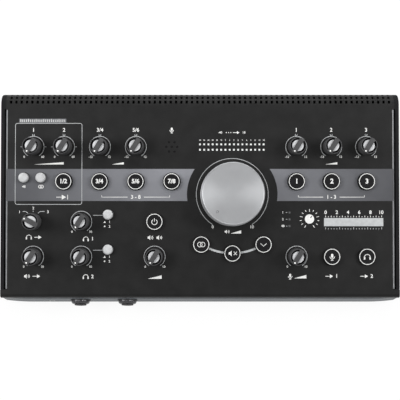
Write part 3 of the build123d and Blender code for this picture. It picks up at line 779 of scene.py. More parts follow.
def talk_mark(centre, size):
    """Paths and areas of a microphone mark."""
    u, v = centre
    half = size / 2
    capsule = arc((u, v + half * 0.5), half * 0.32, -90, 90, 30) + arc(
        (u, v + half * 0.05), half * 0.32, 90, 270, 30
    )
    stand = [
        arc((u, v + half * 0.05), half * 0.62, 90, 270, 22),
        [(u, v - half * 0.57), (u, v - half * 0.92)],
        [(u - half * 0.35, v - half * 0.92), (u + half * 0.35, v - half * 0.92)],
    ]
    return stand, [capsule]


def arrow(start, end, head):
    """Paths and areas of an arrow."""
    way = Vector(end) - Vector(start)
    along = way.normalized() * head
    across = Vector((-along.y, along.x)) * 0.6
    neck = Vector(end) - along
    return [[tuple(start), tuple(neck)]], [[tuple(neck + across), tuple(neck - across), tuple(end)]]


KNOB_PLACES = {name: place_of(name) for name in nodes if name.startswith("knob_")}
BUTTON_PLACES = {name: place_of(name) for name in nodes if name.startswith("button_")}
TRIM_ROW = KNOB_PLACES["knob_trim_a"][1]
SMALL_BUTTONS = (
    "button_phantom", "button_stereo_link", "button_phones_1_source", "button_phones_2_source"
)
BAND_LOW, BAND_HIGH = 95.2, 127.0
BAND_LEFT, BAND_RIGHT = -192.2, 192.2
BAND_CURVE = 45.0  # the band stops round the volume knob at this radius


def band():
    """The grey band across the panel, cut away round the volume knob and round each button on it."""
    u, v = VOLUME_PLACE
    reach = [
        math.degrees(math.acos(min(1.0, (level - v) / BAND_CURVE))) for level in (BAND_HIGH, BAND_LOW)
    ]
    left_end = arc(VOLUME_PLACE, BAND_CURVE, -reach[0], -reach[1], 4)
    right_end = arc(VOLUME_PLACE, BAND_CURVE, reach[1], reach[0], 4)
    outlines = [
        [(BAND_LEFT, BAND_LOW), (BAND_LEFT, BAND_HIGH)] + left_end,
        [(BAND_RIGHT, BAND_HIGH), (BAND_RIGHT, BAND_LOW)] + right_end,
    ]
    for name, place in BUTTON_PLACES.items():
        if BAND_LOW < place[1] < BAND_HIGH:
            outlines.append(
                circle(place, SMALL_SURROUND_RADIUS if name in SMALL_BUTTONS else SURROUND_RADIUS)
            )
    return filled(outlines, thick=INK)


panel_piece("panel_band", band(), band_ink_and_shade)

# Lines
LINE = 0.5
BOLD_LINE = 0.6
MUTE_LINE = 2.0
DIAL_LINE = 0.9
ARC_RADIUS = 10.5
ARC_REACH = 148.0
LABEL_RISE = 16.7  # numerals above a knob
END_DROP = 10.0  # numerals at the ends of a knob's arc
END_SPREAD = 9.2
WEDGE_DROP = 16.4
WEDGE_TALL = 2.3
END_SIZE = 3.1  # heights of the numerals at the ends of an arc and over a knob
LABEL_SIZE = 5.2

fine_lines = []
bold_lines = []
areas = []
figures = []

for name, (u, v) in KNOB_PLACES.items():
    if name == "knob_cue_source":
        continue
    fine_lines.append(arc((u, v), ARC_RADIUS, -ARC_REACH, ARC_REACH, 6))
    trim = "trim" in name
    gain = "gain" in name
    low, high = ("-12", "12") if trim else ("0", "60" if gain else "10")
    figures.append((low, (u - END_SPREAD, v - END_DROP), END_SIZE))
    figures.append((high, (u + END_SPREAD, v - END_DROP), END_SIZE))
    if trim or gain:
        fine_lines.append([(u - 0.9, v + ARC_RADIUS + 2.2), (u - 0.9, v + ARC_RADIUS + 0.5),
                           (u + 0.9, v + ARC_RADIUS + 0.5), (u + 0.9, v + ARC_RADIUS + 2.2)])
    if gain:
        fine_lines += [
            [(u + side * (ARC_RADIUS + 0.4), v), (u + side * (ARC_RADIUS + 2.4), v)] for side in (-1, 1)
        ]

# Preamp section
BOX_LOW, BOX_HIGH = (-183.5, 91.8), (-117.3, 172.4)
fine_lines.append(rounded_box(BOX_LOW, BOX_HIGH, 2.0))
TAB_LOW, TAB_HIGH = (-179.8, 172.8), (-133.0, 177.0)
tab_area = box(TAB_LOW, TAB_HIGH)
TAB_TICKS = 24
TAB_MARGIN = 1.6
TAB_PITCH = 1.9
tab_ticks = []
for tick in range(TAB_TICKS):
    u = TAB_LOW[0] + TAB_MARGIN + TAB_PITCH * tick
    tab_ticks.append([(u, TAB_LOW[1] + 0.9), (u, TAB_HIGH[1] - (0.8 if tick % 4 else 0.3))])
KNOB_LABELS = {
    "knob_gain_1": "1",
    "knob_gain_2": "2",
    "knob_trim_3_4": "3/4",
    "knob_trim_5_6": "5/6",
    "knob_trim_a": "1",
    "knob_trim_b": "2",
    "knob_trim_c": "3",
}
for name, label in KNOB_LABELS.items():
    u, v = KNOB_PLACES[name]
    figures.append((label, (u, v + LABEL_RISE), LABEL_SIZE))
gain_middle = (KNOB_PLACES["knob_gain_1"][0] + KNOB_PLACES["knob_gain_2"][0]) / 2
trim_middle = (KNOB_PLACES["knob_trim_3_4"][0] + KNOB_PLACES["knob_trim_5_6"][0]) / 2
for middle, length in ((gain_middle, 30), (trim_middle, 12), (KNOB_PLACES["knob_trim_b"][0], 12)):
    areas.append(wedge((middle, TRIM_ROW - WEDGE_DROP), length, WEDGE_TALL))


def add_mark(mark):
    """Adds a mark's paths and areas to the print."""
    paths, shapes = mark
    bold_lines.extend(paths)
    areas.extend(shapes)


# Microphone, volume and lower rows
MIC_PLACE = (BUTTON_PLACES["button_source_computer"][0], TRIM_ROW)
add_mark(talk_mark((MIC_PLACE[0], TRIM_ROW + LABEL_RISE), 6.2))
VOLUME_ARC = 35.7
VOLUME_ARC_END = 146.5
VOLUME_TICK = 1.8
VOLUME_FIGURES = (19.4, 69.3)  # beside the knob's middle, and up the panel
fine_lines.append(arc(VOLUME_PLACE, VOLUME_ARC, -VOLUME_ARC_END, VOLUME_ARC_END, 3))
for side in (-1, 1):
    inner_end, outer_end = side * VOLUME_ARC_END, side * (VOLUME_ARC_END + 1)
    inner = arc(VOLUME_PLACE, VOLUME_ARC, inner_end, inner_end)[:1]
    fine_lines.append(inner + arc(VOLUME_PLACE, VOLUME_ARC + VOLUME_TICK, outer_end, outer_end)[:1])
    spot = (VOLUME_PLACE[0] + side * VOLUME_FIGURES[0], VOLUME_FIGURES[1])
    figures.append(("0" if side < 0 else "10", spot, 4.2))
add_mark(speaker((VOLUME_PLACE[0] - 5.2, 64.7), 5.2))
areas.append(wedge((VOLUME_PLACE[0] + 3.6, 64.5), 10.5, 3.2))

MUTE_CIRCLE = VOLUME_PLACE[1] - BUTTON_PLACES["button_mute"][1]
mute_turn = math.degrees(math.asin((BUTTON_PLACES["button_dim"][0] - VOLUME_PLACE[0]) / MUTE_CIRCLE))
MUTE_GAP = 8.6
clear = math.degrees(MUTE_GAP / MUTE_CIRCLE)
mute_links = [
    arc(VOLUME_PLACE, MUTE_CIRCLE, 180 + side * clear, 180 + side * (mute_turn - clear), 3)
    for side in (-1, 1)
]

# Cue source routing
cue = KNOB_PLACES["knob_cue_source"]
CUE_LEADS = (
    ((-10.5, 10.2), (-7.6, 10.2), (-5.0, 8.5)),
    ((4.8, 8.5), (7.0, 10.2), (11.2, 10.2)),
    ((0, 9.8), (0, 10.8)),
)
CUE_FIGURES = (("1", (-13.6, 9.6)), ("2", (0, 13.4)), ("3", (14.6, 9.6)))
CUE_FIGURE_SIZE = 3.6
fine_lines += [[beside(cue, step) for step in lead] for lead in CUE_LEADS]
figures += [(label, beside(cue, step), CUE_FIGURE_SIZE) for label, step in CUE_FIGURES]
add_mark(headphones((cue[0] - 4.2, cue[1] - 15.2), 6.4))
add_mark(arrow((cue[0] + 1.2, cue[1] - 15.4), (cue[0] + 8.4, cue[1] - 15.4), 3.2))

# Phones
LEAD_START, LEAD_RISE = 11.6, 6.4
for number, name in enumerate(("knob_phones_1", "knob_phones_2"), start=1):
    u, v = KNOB_PLACES[name]
    switch = BUTTON_PLACES[f"button_phones_{number}_source"]
    lead_end = switch[0] - SMALL_SURROUND_RADIUS
    fine_lines.append([(u + LEAD_START, v + LEAD_RISE), (lead_end, v + LEAD_RISE)])
    areas.append([(switch[0] - 4.6, v - 1.2), (switch[0] - 2.2, v - 1.2), (switch[0] - 3.4, v + 0.9)])
    areas.append(circle((switch[0] - 3.4, v - 4.6), 0.8, 16))
    figures += [("1", (switch[0] + 1.4, v - 0.2), 3.4), ("2", (switch[0] + 1.4, v - 4.7), 3.4)]
    label_drop = 17.0 if number == 1 else 19.8
    add_mark(headphones((u + 4.6, v - label_drop), 6.2))
    figures.append((str(number), (u + 11.2, v - label_drop), 5.0))

# Direct monitoring, studio and talkback
LOW_MARKS = 19.4  # marks under a knob or a button
STUDIO_MARKS = 15.8
u, v = KNOB_PLACES["knob_direct_monitoring"]
add_mark(speaker((u - 6.0, v - LOW_MARKS), 6.0))
add_mark(arrow((u - 0.4, v - LOW_MARKS), (u + 7.2, v - LOW_MARKS), 3.2))
u, v = BUTTON_PLACES["button_studio_on"]
add_mark(speaker((u - 4.2, v - STUDIO_MARKS), 6.0))
add_mark(speaker((u + 4.6, v - STUDIO_MARKS), 6.0))
u, v = KNOB_PLACES["knob_studio_level"]
areas.append(wedge((u, v - 20.2), 14, 3.4))
u, v = KNOB_PLACES["knob_talkback_level"]
add_mark(talk_mark((u - 6.4, v - LOW_MARKS), 6.2))
areas.append(wedge((u + 3.4, v - 19.8), 12.5, 3.4))
for number, name in enumerate(("button_talk_to_track", "button_talk_to_cue"), start=1):
    u, v = BUTTON_PLACES[name]
    add_mark(arrow((u - 6.2, v - LOW_MARKS), (u + 1.4, v - LOW_MARKS), 3.2))
    figures.append((str(number), (u + 5.0, v - LOW_MARKS), LABEL_SIZE))

# Band labels
SELECT_LABEL = 99.0
for low_button, high_button, label in (
    ("button_source_3_4", "button_source_computer", "3 - 8"),
    ("button_monitor_a", "button_monitor_c", "1 - 3"),
):
    low_u, high_u = BUTTON_PLACES[low_button][0] + 2, BUTTON_PLACES[high_button][0] - 2
    middle = (low_u + high_u) / 2
    bold_lines.append([(low_u, SELECT_LABEL + 1.8), (low_u, SELECT_LABEL), (middle - 8.2, SELECT_LABEL)])
    bold_lines.append(
        [(middle + 8.2, SELECT_LABEL), (high_u, SELECT_LABEL), (high_u, SELECT_LABEL + 1.8)]
    )
    figures.append((label, (middle, SELECT_LABEL), LABEL_SIZE))
SMALL_LABEL = SELECT_LABEL + 10.4  # marks over the two small buttons
LINK_RADIUS = 1.5
LINK_SPREAD = 0.9
first_u = BUTTON_PLACES["button_source_1_2"][0]
add_mark(arrow((first_u - 7.5, SELECT_LABEL), (first_u + 2.2, SELECT_LABEL), 4.2))
bold_lines.append([(first_u + 3.8, SELECT_LABEL - 2.3), (first_u + 3.8, SELECT_LABEL + 2.3)])
figures.append(("48", (BUTTON_PLACES["button_phantom"][0], SMALL_LABEL), 3.4))
stereo_u = BUTTON_PLACES["button_stereo_link"][0]
for side in (-1, 1):
    bold_lines.append(closed_path(circle((stereo_u + side * LINK_SPREAD, SMALL_LABEL), LINK_RADIUS, 20)))

# Meter scale
METER_MIDDLE, METER_PITCH, METER_COUNT = 31.6, 4.22, 16
METER_SCALE = 155.6  # how far up the panel the figures stand
METER_LEVELS = (40, 30, 24, 20, 16, 12, 9, 6, 3, 0, 3, 6, 9, 12, 15, 18)
for column, level in enumerate(METER_LEVELS):
    u = METER_MIDDLE + (column - (METER_COUNT - 1) / 2) * METER_PITCH
    figures.append((str(level), (u, METER_SCALE), 1.9))
METER_NOTE = 163.2
figures += [
    ("-40", (METER_MIDDLE - 11.6, METER_NOTE), 3.2), ("18", (METER_MIDDLE + 12.0, METER_NOTE), 3.2)
]
areas += [circle((METER_MIDDLE - 5.4 + 2.2 * dot, METER_NOTE), 0.5, 16) for dot in range(3)]
add_mark(arrow((METER_MIDDLE + 1.2, METER_NOTE), (METER_MIDDLE + 7.6, METER_NOTE), 2.4))

# Status marks and the plain scale beside them
STATUS_U, STATUS_V, STATUS_PITCH = 88.8, 77.0, 6.7
for label, step in (("1", 1), ("2", 0), ("48", -1)):
    figures.append((label, (STATUS_U - 6.6, STATUS_V + step * STATUS_PITCH), 3.2))
for step in (-1, 0, 1):
    v = STATUS_V + step * STATUS_PITCH
    fine_lines.append([(STATUS_U - 3.6, v), (STATUS_U - 2.2, v)])
BAR_LOW, BAR_HIGH = (123.0, 70.2), (181.8, 78.2)
for tick in range(21):
    u = BAR_LOW[0] + 1.6 + (BAR_HIGH[0] - BAR_LOW[0] - 3.2) * tick / 20
    bold_lines.append([(u, BAR_HIGH[1] + 0.8), (u, BAR_HIGH[1] + (2.4 if tick % 2 == 0 else 1.8))])
    fine_lines.append([(u, BAR_LOW[1] - 3.2), (u, BAR_LOW[1] - (1.2 if tick % 5 == 0 else 2.0))])
    if tick % 4 == 0:
        figures.append((str(tick // 2), (u - (0.6 if tick == 20 else 0), BAR_HIGH[1] + 5.6), 5.0))

# The plain dial printed beside the scale
DIAL_PLACE = (108.6, 77.3)
DIAL_LONG, DIAL_SHORT, DIAL_OUTER = 7.2, 8.0, 9.8  # where its long and short ticks start, and end
for tick in range(13):
    turn = math.radians(-150 + 25 * tick)
    inner, outer = (DIAL_LONG if tick % 3 == 0 else DIAL_SHORT), DIAL_OUTER
    bold_lines.append(
        [
            (DIAL_PLACE[0] + radius * math.sin(turn), DIAL_PLACE[1] + radius * math.cos(turn))
            for radius in (inner, outer)
        ]
    )
areas.append(circle(DIAL_PLACE, 4.6, 40))
dial_pointer = [
    (DIAL_PLACE[0] + radius * math.sin(0.7), DIAL_PLACE[1] + radius * math.cos(0.7))
    for radius in (1.4, 4.0)
]

panel_piece("panel_lines", lines(fine_lines, LINE, pale_ink), pale_ink)
panel_piece("panel_bold_lines", lines(bold_lines, BOLD_LINE, white_ink, LIFTS[0]), white_ink)
panel_piece("panel_mute_link", lines(mute_links, MUTE_LINE, pale_ink), pale_ink)
panel_piece("panel_marks", gather([filled([area], LIFTS[1]) for area in areas]), white_ink)
panel_piece("panel_bars", filled([box(BAR_LOW, BAR_HIGH)]), pale_ink)
panel_piece("panel_tab", filled([tab_area], thick=INK), tab_ink)
panel_piece("panel_tab_ticks", lines(tab_ticks, LINE, white_ink, LIFTS[0]), white_ink)
panel_piece("panel_dial_pointer", lines([dial_pointer], DIAL_LINE, frame_ink, TOP_INK * 0.5), frame_ink)
printed = [numerals(label, place, size, rise=LIFTS[2]) for label, place, size in figures]
panel_piece("panel_figures", gather(printed), white_ink)

# Painted shade in the talkback microphone's seven holes: a dark disc in each and a dark ring on the coat
# round each
MIC_HOLE = 0.79
MIC_RIM = 1.15  # painted shade: a dark ring on the coat round each hole
MIC_PITCH = 5.4
mic_holes = [MIC_PLACE] + [
    (MIC_PLACE[0] + MIC_PITCH * math.cos(turn), MIC_PLACE[1] + MIC_PITCH * math.sin(turn))
    for turn in (math.tau * step / 6 for step in range(6))
]
mic_hole_shade = gather(
    [filled([circle(hole, MIC_HOLE, 24)], -0.3, 0.2) for hole in mic_holes]
    + [filled([circle(hole, MIC_RIM, 24), circle(hole, MIC_HOLE, 24)], thick=INK) for hole in mic_holes]
)
panel_piece("talkback_gauze", mic_hole_shade, painted_hole_shade)

# The bends along both sides of the cover, with a painted highlight in a light grey skin
FLANGE_REACH = 193.0
SIDE_BEND = 2.0
BEND_RUN = (8.2, 186.0)
BEND_SPREAD = (8, 82)  # degrees round the bend, from the flange to the panel
BEND_SKIN = 0.05


def rubbed_bend(side):
    """A thin light grey skin on the bend between the panel and a side flange: a painted highlight."""
    start, end = BEND_SPREAD
    turns = [math.radians(start + (end - start) * k / 8) for k in range(9)]
    skin = [(SIDE_BEND + BEND_SKIN, turn) for turn in turns]
    skin += [(SIDE_BEND - BEND_SKIN, turn) for turn in reversed(turns)]
    shape = bmesh.new()
    near, far = [
        [
            shape.verts.new((
                side * (FLANGE_REACH - SIDE_BEND + radius * math.cos(turn)),
                v,
                -SIDE_BEND + radius * math.sin(turn),
            ))
            for radius, turn in skin
        ]
        for v in BEND_RUN
    ]
    for k in range(len(near)):
        following = (k + 1) % len(near)
        shape.faces.new((near[k], near[following], far[following], far[k]))
    shape.faces.new(near)
    shape.faces.new(far)
    return closed(shape, 1e-5)


panel_piece("cover_side_bends", gather([rubbed_bend(side) for side in (-1, 1)]), bend_highlight_paint)


def window_tree():
    """A grid of frames printed round the meter's windows."""
    tree, keys = new_tree(
        "window_frames",
        ("Columns", "NodeSocketInt"),
        ("Rows", "NodeSocketInt"),
        ("Width", "NodeSocketFloat"),
        ("Height", "NodeSocketFloat"),
        ("Frame size", "NodeSocketFloat"),
        ("Rim", "NodeSocketFloat"),
        ("Thickness", "NodeSocketFloat"),
        ("Ink", "NodeSocketMaterial"),
    )
    source = add_node(tree, "NodeGroupInput").outputs
    grid = add_node(tree, "GeometryNodeMeshGrid", {
        "Size X": source["Width"],
        "Size Y": source["Height"],
        "Vertices X": source["Columns"],
        "Vertices Y": source["Rows"],
    })
    path = oblong(tree, source["Frame size"], source["Frame size"])
    swept = {"Curve": path, "Profile Curve": oblong(tree, source["Rim"], source["Thickness"])}
    sweep = add_node(tree, "GeometryNodeCurveToMesh", swept)
    copies = {"Points": grid.outputs["Mesh"], "Instance": sweep.outputs[0]}
    hand_out(tree, add_node(tree, "GeometryNodeInstanceOnPoints", copies), source["Ink"])
    return tree, keys


window_frames, window_keys = window_tree()
WINDOW = 1.6  # what shows of each window
WINDOW_RIM = 0.7


def frames(columns, rows, width, height, place):
    """A mesh of printed frames round a grid of windows."""
    made = grown(bpy.data.meshes.new("windows"), window_frames, window_keys, {
        "Columns": columns, "Rows": rows, "Width": width, "Height": height,
        "Frame size": WINDOW + WINDOW_RIM, "Rim": WINDOW_RIM, "Thickness": TOP_INK, "Ink": frame_ink,
    })
    made.transform(Matrix.Translation((*place, TOP_INK / 2)))
    return clean(made)


METER_ROW_GAP = 5.4
METER_V = 148.8
meter_frames = frames(
    METER_COUNT, 2, (METER_COUNT - 1) * METER_PITCH, METER_ROW_GAP, (METER_MIDDLE, METER_V)
)
status_frames = frames(1, 3, 0.0, 2 * STATUS_PITCH, (STATUS_U, STATUS_V))
panel_piece("window_frames", gather([meter_frames, status_frames]), frame_ink)

# ---------------------------------------------------------------- screws and sockets

SCREW_HEAD = 2.6
SCREW_SHANK = 1.25
SCREW_RISE = 1.2
SCREW_ARM = 0.42
SCREW_REACH = 1.5


def cross_outline(arm, reach):
    """The outline of a cross."""
    quarter = [(arm, arm), (arm, reach), (-arm, reach)]
    turned = []
    for _ in range(4):
        turned += quarter
        quarter = [(-v, u) for u, v in quarter]
    return turned


def screw_mesh(length, size=1.0):
    """A round-headed screw with a cross recess, seated at no height."""
    body = turned([
        (0, -length),
        (SCREW_SHANK * 0.8, -length),
        (SCREW_SHANK, -length + 0.4),
        (SCREW_SHANK, 0),
        (SCREW_HEAD, 0),
        (SCREW_HEAD, SCREW_RISE * 0.3),
        (SCREW_HEAD * 0.9, SCREW_RISE * 0.68),
        (SCREW_HEAD * 0.66, SCREW_RISE * 0.9),
        (SCREW_HEAD * 0.35, SCREW_RISE * 0.98),
        (0, SCREW_RISE),
    ], 40)
    model = cut_away(
        body, filled([cross_outline(SCREW_ARM, SCREW_REACH)], SCREW_RISE * 0.35, SCREW_RISE)
    )
    model.transform(Matrix.Scale(size, 4))
    return model


def face_of(node, axis, side):
    """How far a node reaches along an axis of the frame, in millimetres."""
    reaches = [vertex.co[axis] * 1000 for vertex in nodes[node].data.vertices]
    return max(reaches) if side > 0 else min(reaches)


rear_skin = face_of("top_cover", 1, 1)
rear_face = face_of("rear_panel", 1, 1)
under_face = face_of("base_pan", 2, -1)
front_face = face_of("front_fascia", 1, -1)

screw_middles = middles_of("case_screws")
rear_screws = [(-middle.x, middle.z) for middle in screw_middles if middle.z > 20]
floor_screws = [(middle.x, -middle.y) for middle in screw_middles if middle.z < 20]
QUARTER_TURN = math.pi / 2
REAR_SCREW, FLOOR_SCREW = 4.0, 5.5  # lengths
rear_set = repeated(screw_mesh(REAR_SCREW), rear_screws, screw_black, QUARTER_TURN)
floor_set = repeated(screw_mesh(FLOOR_SCREW), floor_screws, screw_black, QUARTER_TURN)
underside = facing((0, 0, under_face), (1, 0, 0), (0, -1, 0))
screws = gather([lay(rear_set, on_rear(0, 0, rear_skin)), lay(floor_set, underside)])
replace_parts(piece("case_screws_dressed", screws, [screw_black], "root"), "case_screws")


WASHER_RADIUS = 10.1
WASHER_THICK = 1.0
NUT_RADIUS = 9.2
NUT_TOP_RADIUS = 6.3
NUT_THICK = 3.2
NOSE_HOLE = 5.96
FLUTES = 24
FLUTE_DEPTH = 0.16


def washer_mesh():
    """A flat washer with a worn outer edge, seated at no height."""
    return turned([
        (NOSE_HOLE, 0),
        (WASHER_RADIUS, 0),
        (WASHER_RADIUS, WASHER_THICK - 0.3),
        (WASHER_RADIUS - 0.3, WASHER_THICK),
        (NOSE_HOLE, WASHER_THICK),
    ], 72, True)


def fluted_nut_mesh():
    """A fluted round nut that stands on its washer."""
    shape = bmesh.new()
    top = WASHER_THICK + NUT_THICK
    dome = [
        (
            NUT_TOP_RADIUS + (NUT_RADIUS - NUT_TOP_RADIUS) * math.cos(turn),
            WASHER_THICK + 0.6 + (NUT_THICK - 0.6) * math.sin(turn),
        )
        for turn in (math.pi / 2 * step / 7 for step in range(8))
    ]
    turn_profile(
        shape,
        [(NOSE_HOLE, WASHER_THICK), (NUT_RADIUS, WASHER_THICK), *dome, (NOSE_HOLE, top)],
        segments=FLUTES * 6,
        ring=True,
    )
    for corner in shape.verts:
        if corner.co.xy.length > NUT_TOP_RADIUS + 0.6:
            turn = math.atan2(corner.co.y, corner.co.x)
            corner.co.xy *= 1 - FLUTE_DEPTH / NUT_RADIUS * (0.5 - 0.5 * math.cos(FLUTES * turn))
    return closed(shape)


for name, model, coat, slot in (
    ("phone_washers", washer_mesh(), washer_steel, "washer_metal"),
    ("phone_nuts", fluted_nut_mesh(), nut_nickel, "nut_metal"),
):
    laid = [lay(model.copy(), on_front(spot.x, spot.z, front_face)) for spot in middles_of(name)]
    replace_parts(piece(f"{name}_dressed", gather(laid), [coat], "root"), name)


def liner(bore, wall, low, high):
    """A thin metal lining for a bore."""
    return turned([(bore, low), (bore, high), (bore - wall, high), (bore - wall, low)], 32, True)


PLUG_BORE = 3.25
COMBO_DROP = 15.5  # from the top of a combined socket to its middle
SMALL_DROP = 5.5  # the same for the data socket and the power inlet
LINER_WALL = 0.08
LINER_RUN = (-16.0, -0.6)  # under the socket's mouth
lined = []
for node, place, depth in (
    ("line_jacks", on_rear, face_of("line_jacks", 1, 1)),
    ("phone_jacks", on_front, face_of("phone_jacks", 1, -1)),
    ("combo_jacks", on_rear, face_of("combo_jacks", 1, 1)),
):
    for low, high in solids_of(node):
        middle = (low + high) / 2
        height = middle.z
        if node == "combo_jacks":
            height = high.z - COMBO_DROP
        lined.append(
            lay(liner(PLUG_BORE - 0.01, LINER_WALL, *LINER_RUN), place(middle.x, height, depth))
        )
piece("socket_bore_liners", gather(lined), [shell_nickel], "root")

# Combined sockets: three contacts, a latch and two screws on each flange
CONTACT_RING = 6.1
CONTACT_RADIUS = 1.35
CONTACT_BORE = 0.95
contact_places = arc((0, 0), CONTACT_RING, 60, 300, 120)
LATCH_HALF = (4.0, 1.6)
LATCH_THICK = 1.0
RIDGE_HALF = (2.6, 0.18)
RIDGE_STEPS = (-0.8, 0.0, 0.8)
LATCH_RISE = 13.3
FLANGE_SCREWS = ((10.3, -12.9), (-10.3, 12.9))
FLANGE_SCREW = (1.2, 0.6)  # length and size
CONTACT_RUN = (-0.3, 0.12)


def pad(rise, half, radius):
    """The outline of a rounded pad that stands that far over a socket's middle."""
    return rounded_box((-half[0], rise - half[1]), (half[0], rise + half[1]), radius)[:-1]


for number, (low, high) in enumerate(solids_of("combo_jacks"), start=1):
    place = on_rear((low.x + high.x) / 2, high.z - COMBO_DROP, high.y)
    ring = liner(CONTACT_RADIUS, CONTACT_RADIUS - CONTACT_BORE, *CONTACT_RUN)
    contacts = repeated(ring, contact_places, contact_gold)
    # Painted shade: near-black discs inside the contact rings stand in for the holes
    hole_shade_discs = gather([filled([circle(spot, CONTACT_BORE, 20)], 0.0, 0.03) for spot in contact_places])
    latch = soften(filled([pad(LATCH_RISE, LATCH_HALF, 0.8)], 0.0, LATCH_THICK), 0.25)
    ridges = [
        filled([pad(LATCH_RISE + step, RIDGE_HALF, 0.15)], LATCH_THICK - 0.05, 0.3)
        for step in RIDGE_STEPS
    ]
    fixings = repeated(screw_mesh(*FLANGE_SCREW), FLANGE_SCREWS, screw_black)
    parts = [contacts, hole_shade_discs, latch, *ridges, fixings]
    numbers = (0, 1, 2, 2, 2, 2, 3)
    details = gather([numbered(mesh, finish_number) for mesh, finish_number in zip(parts, numbers)])
    coats = [contact_gold, painted_hole_shade, nut_nickel, screw_black]
    piece(f"combo_socket_{number}_details", lay(details, place), coats, "root")


# Small sockets: the tongue and contacts of one, the pin of the other
usb_low, usb_high = solids_of("usb_socket")[0]
usb_place = on_rear((usb_low.x + usb_high.x) / 2, usb_high.z - SMALL_DROP, usb_high.y)
TONGUE = (3.06, 1.86)
TONGUE_ROOT, TONGUE_LENGTH = -9.4, 9.45
tongue = filled([box((-TONGUE[0], -TONGUE[1]), TONGUE)], TONGUE_ROOT, TONGUE_LENGTH)
STRIP_HALF = (0.45, 0.3)
STRIP_SPREAD = 1.3
STRIP_THICK = 0.05
corners = [(u, v) for u in (-STRIP_SPREAD, STRIP_SPREAD) for v in (-STRIP_SPREAD, STRIP_SPREAD)]
strip_low = (-STRIP_HALF[0], -STRIP_HALF[1])
strip_boxes = [box(beside(spot, strip_low), beside(spot, STRIP_HALF)) for spot in corners]
strips = gather([filled([outline], STRIP_THICK, STRIP_THICK) for outline in strip_boxes])
piece(
    "usb_socket_tongue",
    lay(gather([numbered(soften(tongue, 0.2), 0), numbered(strips, 1)]), usb_place),
    [white_plastic, contact_gold],
    "root",
)
INLET_LINERS = ((1.05, 0.06, -9.0, 0.02), (3.09, 0.06, -9.0, -0.4))  # the pin and the barrel
inlet_low, inlet_high = solids_of("power_inlet")[0]
inlet_place = on_rear((inlet_low.x + inlet_high.x) / 2, inlet_high.z - SMALL_DROP, inlet_high.y)
piece(
    "power_inlet_pin",
    lay(gather([liner(*sizes) for sizes in INLET_LINERS]), inlet_place),
    [shell_nickel],
    "root",
)

# Print on the rear panel
rear_lines = []
rear_bold = []
rear_areas = []
rear_figures = []
NUMBER_RISE = 12.4  # numbers over a column of sockets
ROW_REACH = 9.8  # numbers beside a row, and the drop of a group's frame under it
GROUP_LEFT, GROUP_RIGHT, GROUP_RISE = 11.6, 10.4, 15.0
FRAME_LINE = 0.35
line_middles = middles_of("line_jacks")
line_columns = sorted({round(middle.x, 1) for middle in line_middles}, reverse=True)
line_rows = sorted({round(middle.z, 1) for middle in line_middles})

for column, label in zip(line_columns, ("4", "3", "2", "1", "5/6", "3/4")):
    rear_figures.append((label, (-column, line_rows[1] + NUMBER_RISE), 4.2))
for row, label in zip(line_rows, ("2", "1")):
    for column in line_columns:
        rear_figures.append((label, (-column - ROW_REACH, row), 2.6))
for number, (low, high) in enumerate(solids_of("combo_jacks"), start=1):
    rear_figures.append((str(3 - number), (-(low.x + high.x) / 2, line_rows[1] + NUMBER_RISE), 4.2))
for first, last in ((0, 0), (1, 3), (4, 5)):
    corner = (-line_columns[first] - GROUP_LEFT, line_rows[0] - ROW_REACH)
    opposite = (-line_columns[last] + GROUP_RIGHT, line_rows[1] + GROUP_RISE)
    rear_lines.append(rounded_box(corner, opposite, 2.0))
usb_u, usb_v = -(usb_low.x + usb_high.x) / 2, usb_high.z
USB_MARK = ((-3.4, 5.0), (3.4, 9.2), (-2.2, 3.6), (2.2, 3.6))  # a box over a line
box_low, box_high, *line_ends = [beside((usb_u, usb_v), step) for step in USB_MARK]
rear_bold += [closed_path(box(box_low, box_high)), line_ends]
inlet_u, inlet_v = -(inlet_low.x + inlet_high.x) / 2, inlet_high.z
rear_figures.append(("12", (inlet_u - 3.4, inlet_v + 4.6), 3.8))
rear_bold.append([(inlet_u + 0.4, inlet_v + 5.4), (inlet_u + 6.0, inlet_v + 5.4)])
rear_bold += [
    [(inlet_u + 0.4 + 2.1 * dash, inlet_v + 4.1), (inlet_u + 1.8 + 2.1 * dash, inlet_v + 4.1)]
    for dash in range(3)
]
rear_bold += [closed_path(circle((inlet_u, inlet_v + 10.4), 1.4, 24)),
              [(inlet_u - 4.4, inlet_v + 10.4), (inlet_u - 1.4, inlet_v + 10.4)],
              [(inlet_u + 1.4, inlet_v + 10.4), (inlet_u + 4.4, inlet_v + 10.4)]]
rear_areas.append(circle((inlet_u, inlet_v + 10.4), 0.7, 16))
switch_low, switch_high = solids_of("switch_case")[0]
switch_mark = (-(switch_low.x + switch_high.x) / 2, switch_high.z + 6.2)
rear_bold += [
    arc(switch_mark, 2.3, 35, 325, 15),
    [(switch_mark[0], switch_mark[1] + 0.4), (switch_mark[0], switch_mark[1] + 2.8)],
]
rear_print = gather([
    lines(rear_lines, FRAME_LINE, pale_ink),
    lines(rear_bold, LINE, pale_ink, LIFTS[0]),
    *[filled([area], LIFTS[1]) for area in rear_areas],
    *[numerals(label, place, size, rise=LIFTS[2]) for label, place, size in rear_figures],
])
piece("rear_print", lay(rear_print, on_rear(0, 0, rear_face)), [pale_ink], "root")

# Print on the fascia
front_paths, front_areas = headphones((-150.2, 13.4), 6.4)
front_print = gather([lines(front_paths, 0.7, white_ink)] + [filled([area]) for area in front_areas])
piece("fascia_print", lay(front_print, on_front(0, 0, front_face)), [white_ink], "root")

# ---------------------------------------------------------------- controls


